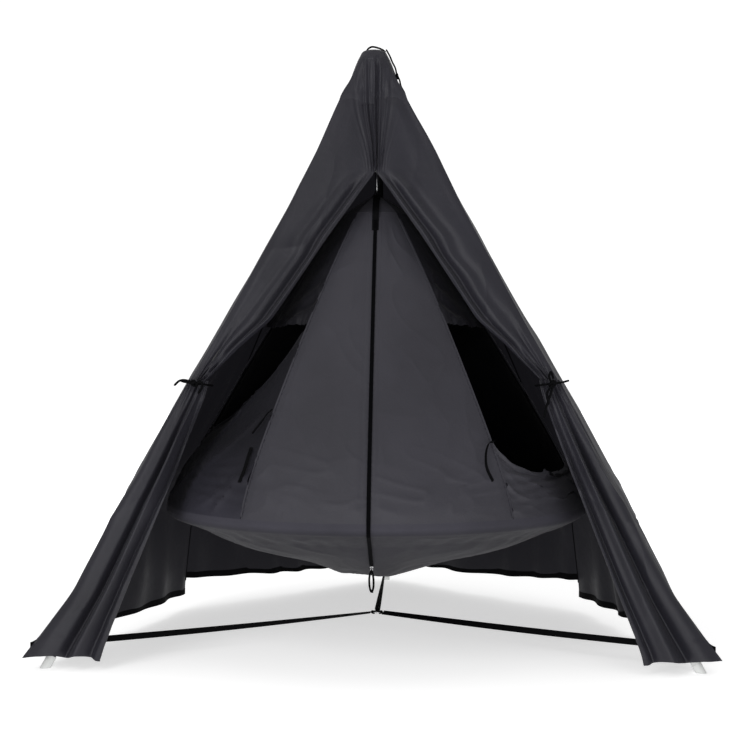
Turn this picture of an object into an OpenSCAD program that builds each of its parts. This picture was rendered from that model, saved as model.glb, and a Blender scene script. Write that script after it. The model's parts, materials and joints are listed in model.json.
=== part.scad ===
// Teepee tent: a fabric cover over a three-legged folding stand, with a round
// hanging bed (a pod) on a swivel inside, and three webbing straps that stop the
// legs spreading. +Z is up, the doorway faces -Y, and the floor is z = 0.
// The origin is on the floor, under the middle of the whole tent.

/* [Stand] */
// Distance from the stand's axis to the middle of each foot
foot_circle_r = 1550; // [1500:10:1600]
// Lean of each leg from upright, in degrees
leg_lean = 30; // [29.5:0.1:30.2]
// Height of the leg hinges
hinge_z = 2600; // [2590:1:2602]
// Outside diameter of the upper leg tube
upper_tube_d = 38; // [36:1:38]
// Wall of the leg tubes
tube_wall = 1.8; // [1.5:0.1:1.9]
// Length of the upper leg tube
upper_tube_len = 1500; // [1400:10:1600]
// Length of lower tube held inside the upper one
tube_overlap = 150; // [120:5:180]
// Outside diameter of the foot caps
foot_d = 41; // [40:0.5:44]

/* [Hub] */
// Diameter of the hub's top plate
hub_plate_d = 132; // [126:1:136]
// Thickness of the hub's top plate
hub_plate_t = 8; // [6:1:8]
// Diameter of the hinge bolts
hinge_bolt_d = 10; // [8:0.5:10]
// Radial clearance of every pin in its hole
pin_gap = 0.05; // [0.03:0.01:0.08]

/* [Hanger] */
// Height of the pin that the pod swings sideways on
side_pin_z = 2585; // [2580:1:2588]
// Height of the bar that the pod swings forwards on
front_bar_z = 2505; // [2500:1:2510]
// Height of the bar at the strap's lower end
swivel_bar_z = 2180; // [2175:1:2185]
// Width of the hanging strap
hanging_strap_w = 32; // [28:1:34]

/* [Pod] */
// Radius of the pod's hoop, at the middle of its tube
hoop_r = 950; // [930:5:955]
// Height of the hoop
hoop_z = 600; // [595:1:605]
// Outside diameter of the hoop's tube
hoop_tube_d = 32; // [28:1:32]
// Depth of the bowl below the hoop
bowl_depth = 330; // [320:5:340]
// Height of the pod's crown, where its panels gather
crown_z = 1960; // [1950:5:1965]
// Half the width of the front panel, in degrees round the pod
front_half_angle = 36; // [34:1:38]
// Angle from the front to the back edge of each side opening
opening_back_angle = 100; // [96:1:104]
// Height of the top edge of the side openings
opening_top_z = 1430; // [1400:10:1450]
// Height of the sill of the side openings
opening_sill_z = 740; // [720:10:760]
// Thickness of the mattress
mattress_t = 40; // [30:5:50]

/* [Cover] */
// Thickness of the fabric panels
fabric_t = 3; // [2:0.5:3]
// Height of the top of the cap
cap_top_z = 2718; // [2716:1:2722]
// Height where the walls meet the cap
wall_top_z = 2500; // [2498:1:2502]
// Height where the walls bulge most, round the pod's hoop
bulge_z = 620; // [610:5:630]
// Height of the hem
hem_z = 90; // [80:5:100]
// Height of the top of the doorway
door_top_z = 2150; // [2140:5:2160]
// Height where the door flaps are tied back to the legs
tie_z = 1170; // [1160:5:1180]

/* [Base straps] */
// Height of the webbing straps above the floor
strap_z = 97; // [92:1:102]
// Width of the base straps
base_strap_w = 28; // [25:1:30]

/* [Hidden] */

LEFT_LEG = 210;
RIGHT_LEG = 330;
BACK_LEG = 90;
LEGS = [LEFT_LEG, RIGHT_LEG, BACK_LEG];

// Reach of the tent in front of the stand's axis, which is the pod's, and behind
// it, which is the back foot's. They put the origin under the middle.
zip_out = 4;
front_reach = hoop_r + hoop_tube_d / 2 + zip_out;
back_reach = foot_circle_r + foot_d / 2 / cos(leg_lean);
axis_y = (front_reach - back_reach) / 2;

hinge_r = foot_circle_r - hinge_z * tan(leg_lean);
leg_len = hinge_z / cos(leg_lean);

// Leg fork: a flat tongue in the hub's lugs, and a plug in the upper tube
tongue_t = 12;
tongue_r = 14;
lug_t = 6;
lug_gap = 0.4;
hub_plate_z = hinge_z + 18;
hub_plate_top = hub_plate_z + hub_plate_t;
tube_top = 45;
upper_tube_bore_d = upper_tube_d - 2 * tube_wall;
lower_tube_d = upper_tube_bore_d - 0.4;
lower_tube_top = tube_top + upper_tube_len - tube_overlap;
lower_tube_end = leg_len - 30;
button_at = tube_top + upper_tube_len - tube_overlap / 2;
button_d = 9;
button_out = 2.5;

eye_d = 30;
eye_t = 14;
eye_stem_d = 12;

// The bowl is part of a sphere whose middle is on the stand's axis
hoop_outer_r = hoop_r + hoop_tube_d / 2;
bowl_sphere_r = (hoop_r * hoop_r + bowl_depth * bowl_depth) / (2 * bowl_depth);
bowl_middle_z = hoop_z - bowl_depth + bowl_sphere_r;
bowl_t = 4;
// Angle of the zip's lower end under the bowl, from straight down
zip_end_angle = 24.6;

carabiner_z = 2095;
carabiner_r = 20;
carabiner_straight = 40;
carabiner_bar_d = 10;
gate_z = carabiner_z - carabiner_straight / 2 + 5;
gate_len = 28;
gate_pin_z = gate_z - 1;
gate_pin_d = 3;

// ---- Placing and building helpers ----

// Moves children from the stand's axis to the tent's own frame
module on_axis() {
    translate([0, axis_y, 0]) children();
}

// Puts children on a leg: the origin is the hinge, and -Z runs down the tube
module on_leg(azimuth) {
    on_axis()
        rotate([0, 0, azimuth])
            translate([hinge_r, 0, hinge_z])
                rotate([0, -leg_lean, 0])
                    children();
}

function leg_r(z) = foot_circle_r - z * tan(leg_lean);

// A point at a radius and azimuth, moved sideways by off towards greater azimuths
function polar(r, azimuth, z, off = 0) = [
    r * cos(azimuth) - off * sin(azimuth),
    r * sin(azimuth) + off * cos(azimuth),
    z
];

// The same point moved towards the stand's axis
function inward(p, t) = p - t * [p[0], p[1], 0] / norm([p[0], p[1]]);

function grid_inward(grid, t) = [for (row = grid) [for (p = row) inward(p, t)]];

// A closed sheet between two grids of points. Rows run down, and columns run
// left to right as seen from the outer side.
module sheet(outer, inner) {
    rows = len(outer);
    cols = len(outer[0]);
    function o(i, j) = i * cols + j;
    function n(i, j) = (rows + i) * cols + j;
    skin = [
        for (i = [0:rows - 2], j = [0:cols - 2]) each [
            [o(i, j), o(i, j + 1), o(i + 1, j + 1)],
            [o(i, j), o(i + 1, j + 1), o(i + 1, j)],
            [n(i, j), n(i + 1, j + 1), n(i, j + 1)],
            [n(i, j), n(i + 1, j), n(i + 1, j + 1)]
        ]
    ];
    ends = [
        for (j = [0:cols - 2]) each [
            [o(0, j + 1), o(0, j), n(0, j), n(0, j + 1)],
            [o(rows - 1, j), o(rows - 1, j + 1), n(rows - 1, j + 1), n(rows - 1, j)]
        ]
    ];
    sides = [
        for (i = [0:rows - 2]) each [
            [o(i, 0), o(i + 1, 0), n(i + 1, 0), n(i, 0)],
            [o(i + 1, cols - 1), o(i, cols - 1), n(i, cols - 1), n(i + 1, cols - 1)]
        ]
    ];
    polyhedron(
        points = concat([for (row = outer) each row], [for (row = inner) each row]),
        faces = concat(skin, ends, sides)
    );
}

// A round cord through a short list of points
module cord(path, d) {
    for (i = [0:len(path) - 2])
        hull() {
            translate(path[i]) sphere(d = d, $fn = 12);
            translate(path[i + 1]) sphere(d = d, $fn = 12);
        }
}

// A round bar along one axis, centred: axis is [1,0,0], [0,1,0] or [0,0,1]
module bar(d, length, axis) {
    rotate(axis[0] > 0 ? [0, 90, 0] : axis[1] > 0 ? [90, 0, 0] : [0, 0, 0])
        cylinder(d = d, h = length, center = true, $fn = 48);
}

// ---- Hub ----

module hub() {
    lug_middle = tongue_t / 2 + lug_gap + lug_t / 2;
    bolt_hole_len = 64;
    color("dimgray")
        on_axis()
            difference() {
                union() {
                    translate([0, 0, hub_plate_z])
                        cylinder(d = hub_plate_d, h = hub_plate_t, $fn = 96);
                    for (azimuth = LEGS, side = [-1, 1])
                        rotate([0, 0, azimuth])
                            translate([hinge_r, side * lug_middle, hinge_z]) {
                                bar(2 * tongue_r, lug_t, [0, 1, 0]);
                                translate([-tongue_r, -lug_t / 2, 0])
                                    cube([2 * tongue_r, lug_t, hub_plate_z - hinge_z + 1]);
                            }
                }
                for (azimuth = LEGS)
                    rotate([0, 0, azimuth])
                        translate([hinge_r, 0, hinge_z])
                            bar(hinge_bolt_d + 2 * pin_gap, bolt_hole_len, [0, 1, 0]);
                translate([0, 0, hub_plate_z + hub_plate_t / 2])
                    bar(eye_stem_d + 2 * pin_gap, 3 * hub_plate_t, [0, 0, 1]);
            }
}

// Distance from a leg's middle plane to the outer face of its lugs
lug_face = tongue_t / 2 + lug_gap + lug_t;
bolt_hex_d = 17;
bolt_play = 0.2;

module hinge_bolts() {
    head_t = 6;
    thread_out = 11;
    color("silver")
        on_axis()
            for (azimuth = LEGS)
                rotate([0, 0, azimuth])
                    translate([hinge_r, 0, hinge_z])
                        rotate([-90, 0, 0]) {
                            translate([0, 0, -lug_face - bolt_play])
                                cylinder(d = hinge_bolt_d, h = 2 * lug_face + thread_out, $fn = 48);
                            translate([0, 0, -lug_face - bolt_play - head_t])
                                cylinder(d = bolt_hex_d, h = head_t + 0.01, $fn = 6);
                        }
}

module hinge_nuts() {
    nut_t = 8;
    color("silver")
        on_axis()
            for (azimuth = LEGS)
                rotate([0, 0, azimuth])
                    translate([hinge_r, lug_face + bolt_play, hinge_z])
                        rotate([-90, 0, 0])
                            difference() {
                                cylinder(d = bolt_hex_d, h = nut_t, $fn = 6);
                                translate([0, 0, -1])
                                    cylinder(d = hinge_bolt_d + 2 * pin_gap, h = nut_t + 2, $fn = 48);
                            }
}

module eye_bolt() {
    stem_from = side_pin_z + 12;
    stem_to = hub_plate_top + 17;
    color("silver")
        on_axis()
            difference() {
                union() {
                    translate([0, 0, side_pin_z]) bar(eye_d, eye_t, [0, 1, 0]);
                    translate([0, 0, stem_from])
                        cylinder(d = eye_stem_d, h = stem_to - stem_from, $fn = 48);
                }
                translate([0, 0, side_pin_z])
                    bar(hinge_bolt_d + 2 * pin_gap, 2 * eye_t, [0, 1, 0]);
            }
}

module eye_nut() {
    nut_t = 10;
    nut_d = 21;
    color("silver")
        on_axis()
            translate([0, 0, hub_plate_top + bolt_play])
                difference() {
                    cylinder(d = nut_d, h = nut_t, $fn = 6);
                    translate([0, 0, -1])
                        cylinder(d = eye_stem_d + 2 * pin_gap, h = nut_t + 2, $fn = 48);
                }
}

// ---- Legs ----

module leg_fork(azimuth) {
    plug_d = upper_tube_bore_d - 0.2;
    plug_len = 60;
    collar_h = 10;
    tongue_h = 40;
    color("dimgray")
        on_leg(azimuth)
            difference() {
                union() {
                    bar(2 * tongue_r, tongue_t, [0, 1, 0]);
                    translate([-tongue_r, -tongue_t / 2, -tongue_h])
                        cube([2 * tongue_r, tongue_t, tongue_h]);
                    translate([0, 0, -tube_top + 0.2])
                        cylinder(d = upper_tube_d, h = collar_h, $fn = 64);
                    translate([0, 0, -tube_top - plug_len])
                        cylinder(d = plug_d, h = plug_len + 2, $fn = 64);
                }
                bar(hinge_bolt_d + 2 * pin_gap, 2 * tongue_t, [0, 1, 0]);
            }
}

// The hole in a tube that the snap button stands in, on the side towards the axis
module button_hole() {
    translate([-upper_tube_d / 2, 0, -button_at])
        bar(button_d + 2 * pin_gap, 12, [1, 0, 0]);
}

module upper_tube(azimuth) {
    color("dimgray")
        on_leg(azimuth)
            difference() {
                translate([0, 0, -tube_top - upper_tube_len])
                    cylinder(d = upper_tube_d, h = upper_tube_len, $fn = 64);
                translate([0, 0, -tube_top - upper_tube_len - 1])
                    cylinder(d = upper_tube_bore_d, h = upper_tube_len + 2, $fn = 64);
                button_hole();
            }
}

module lower_tube(azimuth) {
    tube_len = lower_tube_end - lower_tube_top;
    color("dimgray")
        on_leg(azimuth)
            difference() {
                translate([0, 0, -lower_tube_end])
                    cylinder(d = lower_tube_d, h = tube_len, $fn = 64);
                translate([0, 0, -lower_tube_end - 1])
                    cylinder(d = lower_tube_d - 2 * tube_wall, h = tube_len + 2, $fn = 64);
                button_hole();
            }
}

// A foot cap, cut level with the floor, with a small drain hole in front
module foot(azimuth) {
    cap_len = 75;
    below = 20;
    drain_d = 8;
    drain_up = 40;
    color("gainsboro")
        difference() {
            on_leg(azimuth)
                difference() {
                    translate([0, 0, -leg_len - below])
                        cylinder(d = foot_d, h = cap_len, $fn = 64);
                    translate([0, 0, -lower_tube_end - 0.2])
                        cylinder(d = lower_tube_d + 0.2, h = cap_len, $fn = 64);
                    translate([0, -foot_d / 2, -leg_len + drain_up])
                        bar(drain_d, 5, [0, 1, 0]);
                }
            on_axis()
                rotate([0, 0, azimuth])
                    translate([foot_circle_r - 100, -100, -100])
                        cube([200, 200, 100]);
        }
}

// A sewn webbing sleeve round the leg, which a base strap ends at
module strap_keeper(azimuth) {
    keeper_h = 34;
    at = leg_len - strap_z / cos(leg_lean) - 10;
    color("black")
        on_leg(azimuth)
            translate([0, 0, -at])
                difference() {
                    cylinder(d = lower_tube_d + 7, h = keeper_h, center = true, $fn = 64);
                    cylinder(d = lower_tube_d + 1, h = keeper_h + 2, center = true, $fn = 64);
                }
}

// The button, its base and the bent leaf that pushes it out
module snap_button(azimuth) {
    base_x = -lower_tube_d / 2 + tube_wall + 1.6;
    base_d = 12;
    leaf_w = 10;
    leaf_t = 1;
    leaf_h = 46;
    leaf_spread = 20;
    color("silver")
        on_leg(azimuth)
            translate([0, 0, -button_at]) {
                translate([-upper_tube_d / 2 - button_out, 0, 0])
                    rotate([0, 90, 0])
                        cylinder(d = button_d, h = base_x + upper_tube_d / 2 + button_out + 1, $fn = 48);
                translate([base_x, 0, 0])
                    rotate([0, 90, 0])
                        cylinder(d = base_d, h = 1.5, $fn = 48);
                translate([0, leaf_w / 2, 0])
                    rotate([90, 0, 0])
                        linear_extrude(leaf_w)
                            polygon([
                                [base_x + 1, 5],
                                [base_x + 1, -leaf_h],
                                [base_x + 6, -leaf_h - 4],
                                [base_x + leaf_spread, 0],
                                [base_x + leaf_spread - leaf_t, 0],
                                [base_x + 5.5, -leaf_h - 2],
                                [base_x + 1 + leaf_t, -leaf_h + 1],
                                [base_x + 1 + leaf_t, 5]
                            ]);
            }
}

// ---- Base straps ----

ring_r = 20;
ring_bar_d = 7;

module base_ring() {
    color("silver")
        on_axis()
            translate([0, 0, strap_z])
                rotate_extrude($fn = 64)
                    translate([ring_r, 0]) circle(d = ring_bar_d, $fn = 32);
}

// A flat strap on edge, with a sewn loop round the middle ring
module base_strap(azimuth) {
    strap_t = 3;
    loop_d = 14;
    outer_end = leg_r(strap_z + base_strap_w / 2) - (lower_tube_d / 2 + 4) / cos(leg_lean) - 1;
    color("black")
        on_axis()
            rotate([0, 0, azimuth])
                translate([0, 0, strap_z])
                    difference() {
                        union() {
                            translate([ring_r, 0, 0]) bar(loop_d, 12, [0, 1, 0]);
                            translate([ring_r + 5, -strap_t / 2, -base_strap_w / 2])
                                cube([outer_end - ring_r - 5, strap_t, base_strap_w]);
                        }
                        translate([ring_r, 0, 0]) bar(loop_d - 4.5, 20, [0, 1, 0]);
                    }
}

// ---- Cover ----

// Radii of the cover's left side at four azimuths: the middle of the wall, the
// fold 20 degrees either side of it, and the corner at a leg
wall_middle = 150;
fold_angle = 20;
corner_gap = 3;
front_gap = 9;
CORNER_R = [leg_r(wall_top_z) + 34, leg_r(bulge_z) + 50, leg_r(hem_z) + 52];
FOLD_R = [108, 1120, 1121];
MIDDLE_R = [112, 1100, 1170];
WALL_Z = [wall_top_z, bulge_z, hem_z];

function near_row(k, z) = [
    polar(MIDDLE_R[k], wall_middle, z, 2),
    polar(FOLD_R[k], wall_middle + fold_angle, z),
    polar(CORNER_R[k], LEFT_LEG, z, -corner_gap)
];

function far_row(k, z) = [
    polar(CORNER_R[k], BACK_LEG, z, corner_gap),
    polar(FOLD_R[k], wall_middle - fold_angle, z),
    polar(MIDDLE_R[k], wall_middle, z, -2)
];

module wall_sheet(grid) {
    on_axis() sheet(grid, grid_inward(grid, fabric_t));
}

module cover_near_left() {
    color("darkslategray")
        wall_sheet([for (k = [0:2]) near_row(k, WALL_Z[k])]);
}

module cover_far_left() {
    color("darkslategray")
        wall_sheet([for (k = [0:2]) far_row(k, WALL_Z[k])]);
}

module cover_near_right() {
    mirror([1, 0, 0]) cover_near_left();
}

module cover_far_right() {
    mirror([1, 0, 0]) cover_far_left();
}

// The black binding under the hem of each wall
module cover_hem() {
    hem_h = 22;
    color("black")
        for (side = [0, 1])
            mirror([side, 0, 0]) {
                wall_sheet([near_row(2, hem_z - 1), near_row(2, hem_z - hem_h)]);
                wall_sheet([far_row(2, hem_z - 1), far_row(2, hem_z - hem_h)]);
            }
}

// Radius of the cover's corner at a leg, between the cap and the bulge
function corner_r(z) =
    CORNER_R[0] + (CORNER_R[1] - CORNER_R[0]) * (wall_top_z - z) / (wall_top_z - bulge_z);

// One row of a front panel, from the leg to a door edge at x
function front_row(z, edge_x) =
    let (corner = polar(corner_r(z), LEFT_LEG, z, front_gap))
        [corner, [edge_x, corner[1], z]];

// The upper front: closed above the doorway, and swept out to the tie below it
module cover_front_left() {
    grid = [
        front_row(wall_top_z, -2),
        front_row(door_top_z, -2),
        front_row(tie_z + 275, -452),
        front_row(tie_z + 12, -735)
    ];
    back = [for (row = grid) [for (p = row) p + [0, fabric_t, 0]]];
    color("darkslategray")
        on_axis() sheet(grid, back);
}

module cover_front_right() {
    mirror([1, 0, 0]) cover_front_left();
}

// The gathered flap that hangs down the front of a leg, from the tie to the hem.
// Each row is its outer edge, its ridge in front of the leg, and its inner edge.
function flap_row(z, stand_off, inner_x) =
    let (
        outer = polar(leg_r(z) + stand_off, LEFT_LEG, z, corner_gap),
        leg = polar(leg_r(z), LEFT_LEG, z)
    )
        [outer, [leg[0] + 20, leg[1] - 68, z], [inner_x, leg[1] - 58, z]];

module door_flap_left() {
    grid = [
        flap_row(tie_z - 14, 52, -712),
        flap_row(820, 56, -827),
        flap_row(450, 62, -963),
        flap_row(60, 100, -1103)
    ];
    back = [for (row = grid) [for (p = row) p + [0, fabric_t, 0]]];
    color("darkslategray")
        on_axis() sheet(grid, back);
}

module door_flap_right() {
    mirror([1, 0, 0]) door_flap_left();
}

// The knotted cord that ties a flap back, in front of the flap
module door_tie_left() {
    knot = [-760, polar(leg_r(tie_z), LEFT_LEG, tie_z)[1] - 88, tie_z];
    color("black")
        on_axis() {
            cord([knot + [-70, 8, 0], knot, knot + [30, 6, 4]], 7);
            cord([knot, knot + [12, -6, -95]], 6);
        }
}

module door_tie_right() {
    mirror([1, 0, 0]) door_tie_left();
}

// The cap: a cone over the hub that the walls are sewn to
module cover_cap() {
    top_r = 60;
    bottom_r = 146;
    bottom_z = wall_top_z + 6;
    color("darkslategray")
        on_axis()
            rotate_extrude($fn = 96)
                polygon([
                    [0, cap_top_z],
                    [top_r, cap_top_z],
                    [bottom_r, bottom_z],
                    [bottom_r - fabric_t, bottom_z],
                    [top_r - fabric_t, cap_top_z - fabric_t],
                    [0, cap_top_z - fabric_t]
                ]);
}

// A webbing loop on top of the cap, to lift the cover by
module cap_loop() {
    color("black")
        on_axis()
            translate([0, 10, cap_top_z + 0.5])
                rotate([90, 0, 0])
                    linear_extrude(20)
                        difference() {
                            polygon([[-40, 0], [-26, 18], [0, 26], [26, 18], [40, 0]]);
                            polygon([[-34, -1], [-23, 14], [0, 21], [23, 14], [34, -1]]);
                        }
}

// The draw cord that comes out of the cap on its right side
module cap_cord() {
    color("black")
        on_axis()
            cord([[66, -12, 2712], [98, -12, 2640], [124, -12, 2572], [152, -14, 2512]], 6);
}

// ---- Hanger ----

module swing_pin() {
    head_d = 14;
    head_t = 3;
    cheek_out = eye_t / 2 + 5;
    color("silver")
        on_axis()
            translate([0, 0, side_pin_z]) {
                bar(hinge_bolt_d, 2 * cheek_out + 2, [0, 1, 0]);
                for (side = [-1, 1])
                    translate([0, side * (cheek_out + 0.2 + head_t / 2), 0])
                        bar(head_d, head_t, [0, 1, 0]);
            }
}

front_bar_d = 10;
swivel_bar_d = 8;
strap_ply = 2.7;

// The yoke hangs on the swing pin and carries the bar that the strap loops over
module yoke() {
    cheek_in = eye_t / 2 + 0.5;
    cheek_t = 4.5;
    cheek_w = 24;
    post_x = hanging_strap_w / 2 + 3;
    post_t = 6;
    post_w = 14;
    base_z = side_pin_z - 42;
    base_t = 9;
    color("dimgray")
        on_axis()
            difference() {
                union() {
                    for (side = [-1, 1])
                        translate([0, side * (cheek_in + cheek_t / 2), 0]) {
                            translate([0, 0, side_pin_z]) bar(cheek_w, cheek_t, [0, 1, 0]);
                            translate([-cheek_w / 2, -cheek_t / 2, base_z])
                                cube([cheek_w, cheek_t, side_pin_z - base_z]);
                        }
                    translate([-post_x - post_t, -cheek_in - cheek_t, base_z - base_t + 1])
                        cube([2 * (post_x + post_t), 2 * (cheek_in + cheek_t), base_t]);
                    for (side = [-1, 1])
                        translate([
                            side * (post_x + post_t / 2) - post_t / 2,
                            -post_w / 2,
                            front_bar_z - post_w / 2
                        ])
                            cube([post_t, post_w, base_z - front_bar_z]);
                    translate([0, 0, front_bar_z]) bar(front_bar_d, 2 * post_x + 8, [1, 0, 0]);
                }
                translate([0, 0, side_pin_z])
                    bar(hinge_bolt_d + 2 * pin_gap, 60, [0, 1, 0]);
            }
}

// Two plies of webbing with a sewn loop at each end
module hanging_strap() {
    loop_gap = 0.3;
    color("black")
        on_axis()
            translate([-hanging_strap_w / 2, 0, 0])
                rotate([90, 0, 90])
                    linear_extrude(hanging_strap_w)
                        difference() {
                            union() {
                                translate([0, front_bar_z])
                                    circle(r = front_bar_d / 2 + loop_gap + strap_ply, $fn = 48);
                                translate([0, swivel_bar_z])
                                    circle(r = swivel_bar_d / 2 + loop_gap + strap_ply, $fn = 48);
                                translate([-strap_ply, swivel_bar_z + swivel_bar_d / 2])
                                    square([
                                        2 * strap_ply,
                                        front_bar_z - swivel_bar_z - (front_bar_d + swivel_bar_d) / 2
                                    ]);
                            }
                            translate([0, front_bar_z])
                                circle(r = front_bar_d / 2 + loop_gap, $fn = 48);
                            translate([0, swivel_bar_z])
                                circle(r = swivel_bar_d / 2 + loop_gap, $fn = 48);
                        }
}

swivel_plate_z = swivel_bar_z - 30;
swivel_plate_t = 8;
swivel_stem_d = 10;

// The upper half of the swivel: a stirrup in the strap's lower loop
module swivel_eye() {
    post_x = hanging_strap_w / 2 + 2;
    post_t = 6;
    post_w = 12;
    plate_w = 22;
    color("silver")
        on_axis()
            difference() {
                union() {
                    translate([0, 0, swivel_bar_z]) bar(swivel_bar_d, 2 * post_x + 8, [1, 0, 0]);
                    for (side = [-1, 1])
                        translate([
                            side * (post_x + post_t / 2) - post_t / 2,
                            -post_w / 2,
                            swivel_plate_z
                        ])
                            cube([post_t, post_w, swivel_bar_z - swivel_plate_z + swivel_bar_d / 2]);
                    translate([-post_x - post_t, -plate_w / 2, swivel_plate_z])
                        cube([2 * (post_x + post_t), plate_w, swivel_plate_t]);
                }
                translate([0, 0, swivel_plate_z])
                    bar(swivel_stem_d + 2 * pin_gap, 40, [0, 0, 1]);
            }
}

// The lower half of the swivel: its stem turns in the stirrup's plate
module carabiner() {
    top_z = carabiner_z + carabiner_straight / 2;
    bottom_z = carabiner_z - carabiner_straight / 2;
    stem_from = top_z + carabiner_r - 2;
    stem_to = swivel_plate_z + swivel_plate_t + 2;
    slot_w = 6;
    color("silver")
        on_axis()
            difference() {
                union() {
                    for (end = [[top_z, 0], [bottom_z, 180]])
                        translate([0, 0, end[0]])
                            rotate([90 + end[1], 0, 90])
                                rotate_extrude(angle = 180, $fn = 64)
                                    translate([carabiner_r, 0])
                                        circle(d = carabiner_bar_d, $fn = 32);
                    for (side = [-1, 1])
                        translate([0, side * carabiner_r, carabiner_z])
                            bar(carabiner_bar_d, carabiner_straight, [0, 0, 1]);
                    translate([0, 0, stem_from])
                        cylinder(d = swivel_stem_d, h = stem_to - stem_from, $fn = 48);
                    translate([0, 0, swivel_plate_z + swivel_plate_t + 0.3])
                        cylinder(d = swivel_stem_d + 6, h = 4, $fn = 48);
                }
                translate([-carabiner_bar_d, carabiner_r - 8, gate_z])
                    cube([2 * carabiner_bar_d, 20, gate_len]);
                translate([-slot_w / 2, carabiner_r - 8, gate_z - 5])
                    cube([slot_w, 20, 10]);
                translate([0, carabiner_r, gate_pin_z])
                    bar(gate_pin_d + 2 * pin_gap, 20, [1, 0, 0]);
            }
}

module carabiner_gate() {
    gate_d = 8.6;
    tongue_w = 5.4;
    knuckle_d = 7;
    lift = 3.5;
    color("silver")
        on_axis()
            difference() {
                union() {
                    translate([0, carabiner_r, gate_z + lift])
                        cylinder(d = gate_d, h = gate_len - lift - 1, $fn = 48);
                    translate([-tongue_w / 2, carabiner_r - knuckle_d / 2, gate_pin_z])
                        cube([tongue_w, knuckle_d, lift + 2.5]);
                    translate([0, carabiner_r, gate_pin_z]) bar(knuckle_d, tongue_w, [1, 0, 0]);
                }
                translate([0, carabiner_r, gate_pin_z])
                    bar(gate_pin_d + 2 * pin_gap, 20, [1, 0, 0]);
            }
}

module gate_pin() {
    color("silver")
        on_axis()
            translate([0, carabiner_r, gate_pin_z]) bar(gate_pin_d, 9, [1, 0, 0]);
}

// ---- Pod ----

// The pod's side, from its crown (t = 0) to its hoop (t = 1)
crown_r = 150;
pod_top_z = crown_z - 12;
pod_foot_z = hoop_z + 20;
pod_bulge = 50;
function pod_t(z) = (crown_z - 10 - z) / (crown_z - 10 - pod_foot_z);
function pod_r(z) =
    let (t = pod_t(z)) crown_r + (hoop_outer_r - crown_r) * t + pod_bulge * 4 * t * (1 - t);

// One curved panel of the pod between two azimuths, and between two heights
module pod_panel(from, to, top, bottom, cols, rows) {
    grid = [
        for (i = [0:rows])
            let (z = top + (bottom - top) * i / rows)
                [for (j = [0:cols]) polar(pod_r(z), from + (to - from) * j / cols, z)]
    ];
    on_axis() sheet(grid, grid_inward(grid, fabric_t));
}

seam_gap = 0.3;
FRONT = 270;

module pod_front() {
    color("slategray") {
        pod_panel(FRONT - front_half_angle, FRONT - seam_gap, pod_top_z, pod_foot_z, 3, 8);
        pod_panel(FRONT + seam_gap, FRONT + front_half_angle, pod_top_z, pod_foot_z, 3, 8);
    }
}

// Above and below each side opening
module pod_sides() {
    start = front_half_angle + seam_gap;
    end = opening_back_angle - seam_gap;
    color("slategray") {
        pod_panel(FRONT + start, FRONT + end, pod_top_z, opening_top_z, 5, 4);
        pod_panel(FRONT + start, FRONT + end, opening_sill_z, pod_foot_z, 5, 1);
        pod_panel(FRONT - end, FRONT - start, pod_top_z, opening_top_z, 5, 4);
        pod_panel(FRONT - end, FRONT - start, opening_sill_z, pod_foot_z, 5, 1);
    }
}

// The closed back, in four gores
module pod_back() {
    gore = (360 - 2 * opening_back_angle) / 4;
    color("slategray")
        for (k = [0:3])
            pod_panel(
                FRONT + opening_back_angle + k * gore + seam_gap,
                FRONT + opening_back_angle + (k + 1) * gore - seam_gap,
                pod_top_z, pod_foot_z, 3, 8
            );
}

// The crown, a cone of cloth, and the loop of webbing that hangs on the carabiner
module pod_crown() {
    bar_z = carabiner_z - carabiner_straight / 2 - carabiner_r;
    cone_low_z = crown_z - 8;
    cone_top_z = crown_z + 66;
    cone_top_r = 14;
    cone_t = 4;
    loop_r = 9;
    web_t = 3;
    web_w = 20;
    color("black")
        on_axis() {
            rotate_extrude($fn = 96)
                polygon([
                    [0, cone_top_z],
                    [cone_top_r, cone_top_z],
                    [crown_r + 2, cone_low_z],
                    [crown_r - 6, cone_low_z],
                    [cone_top_r, cone_top_z - cone_t],
                    [0, cone_top_z - cone_t]
                ]);
            translate([0, web_w / 2, 0])
                rotate([90, 0, 0])
                    linear_extrude(web_w)
                        difference() {
                            union() {
                                translate([0, bar_z]) circle(r = loop_r + web_t, $fn = 48);
                                translate([-loop_r - web_t, cone_top_z - cone_t / 2])
                                    square([2 * (loop_r + web_t), bar_z - cone_top_z + cone_t / 2]);
                            }
                            translate([0, bar_z]) circle(r = loop_r, $fn = 48);
                            translate([-loop_r, cone_top_z + 1])
                                square([2 * loop_r, bar_z - cone_top_z - 1]);
                        }
        }
}

// The hoop, a ring of steel tube
module pod_hoop() {
    color("dimgray")
        on_axis()
            translate([0, 0, hoop_z])
                rotate_extrude($fn = 128)
                    translate([hoop_r, 0])
                        difference() {
                            circle(d = hoop_tube_d, $fn = 32);
                            circle(d = hoop_tube_d - 3.2, $fn = 32);
                        }
}

// Webbing inside the seams, which carries the hoop from the crown
module pod_webbing() {
    web_half = 14;
    web_t = 2;
    web_inset = fabric_t + 3.5;
    rows = 8;
    color("black")
        for (side = [-1, 1], angle = [front_half_angle, opening_back_angle]) {
            azimuth = FRONT + side * angle;
            grid = [
                for (i = [0:rows])
                    let (z = pod_top_z - 2 + (pod_foot_z - pod_top_z + 2) * i / rows)
                        [
                            for (off = [-web_half, web_half])
                                polar(pod_r(z) - web_inset, azimuth, z, off)
                        ]
            ];
            on_axis() sheet(grid, grid_inward(grid, web_t));
        }
}

bowl_edge_r = hoop_r - 25;

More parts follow.
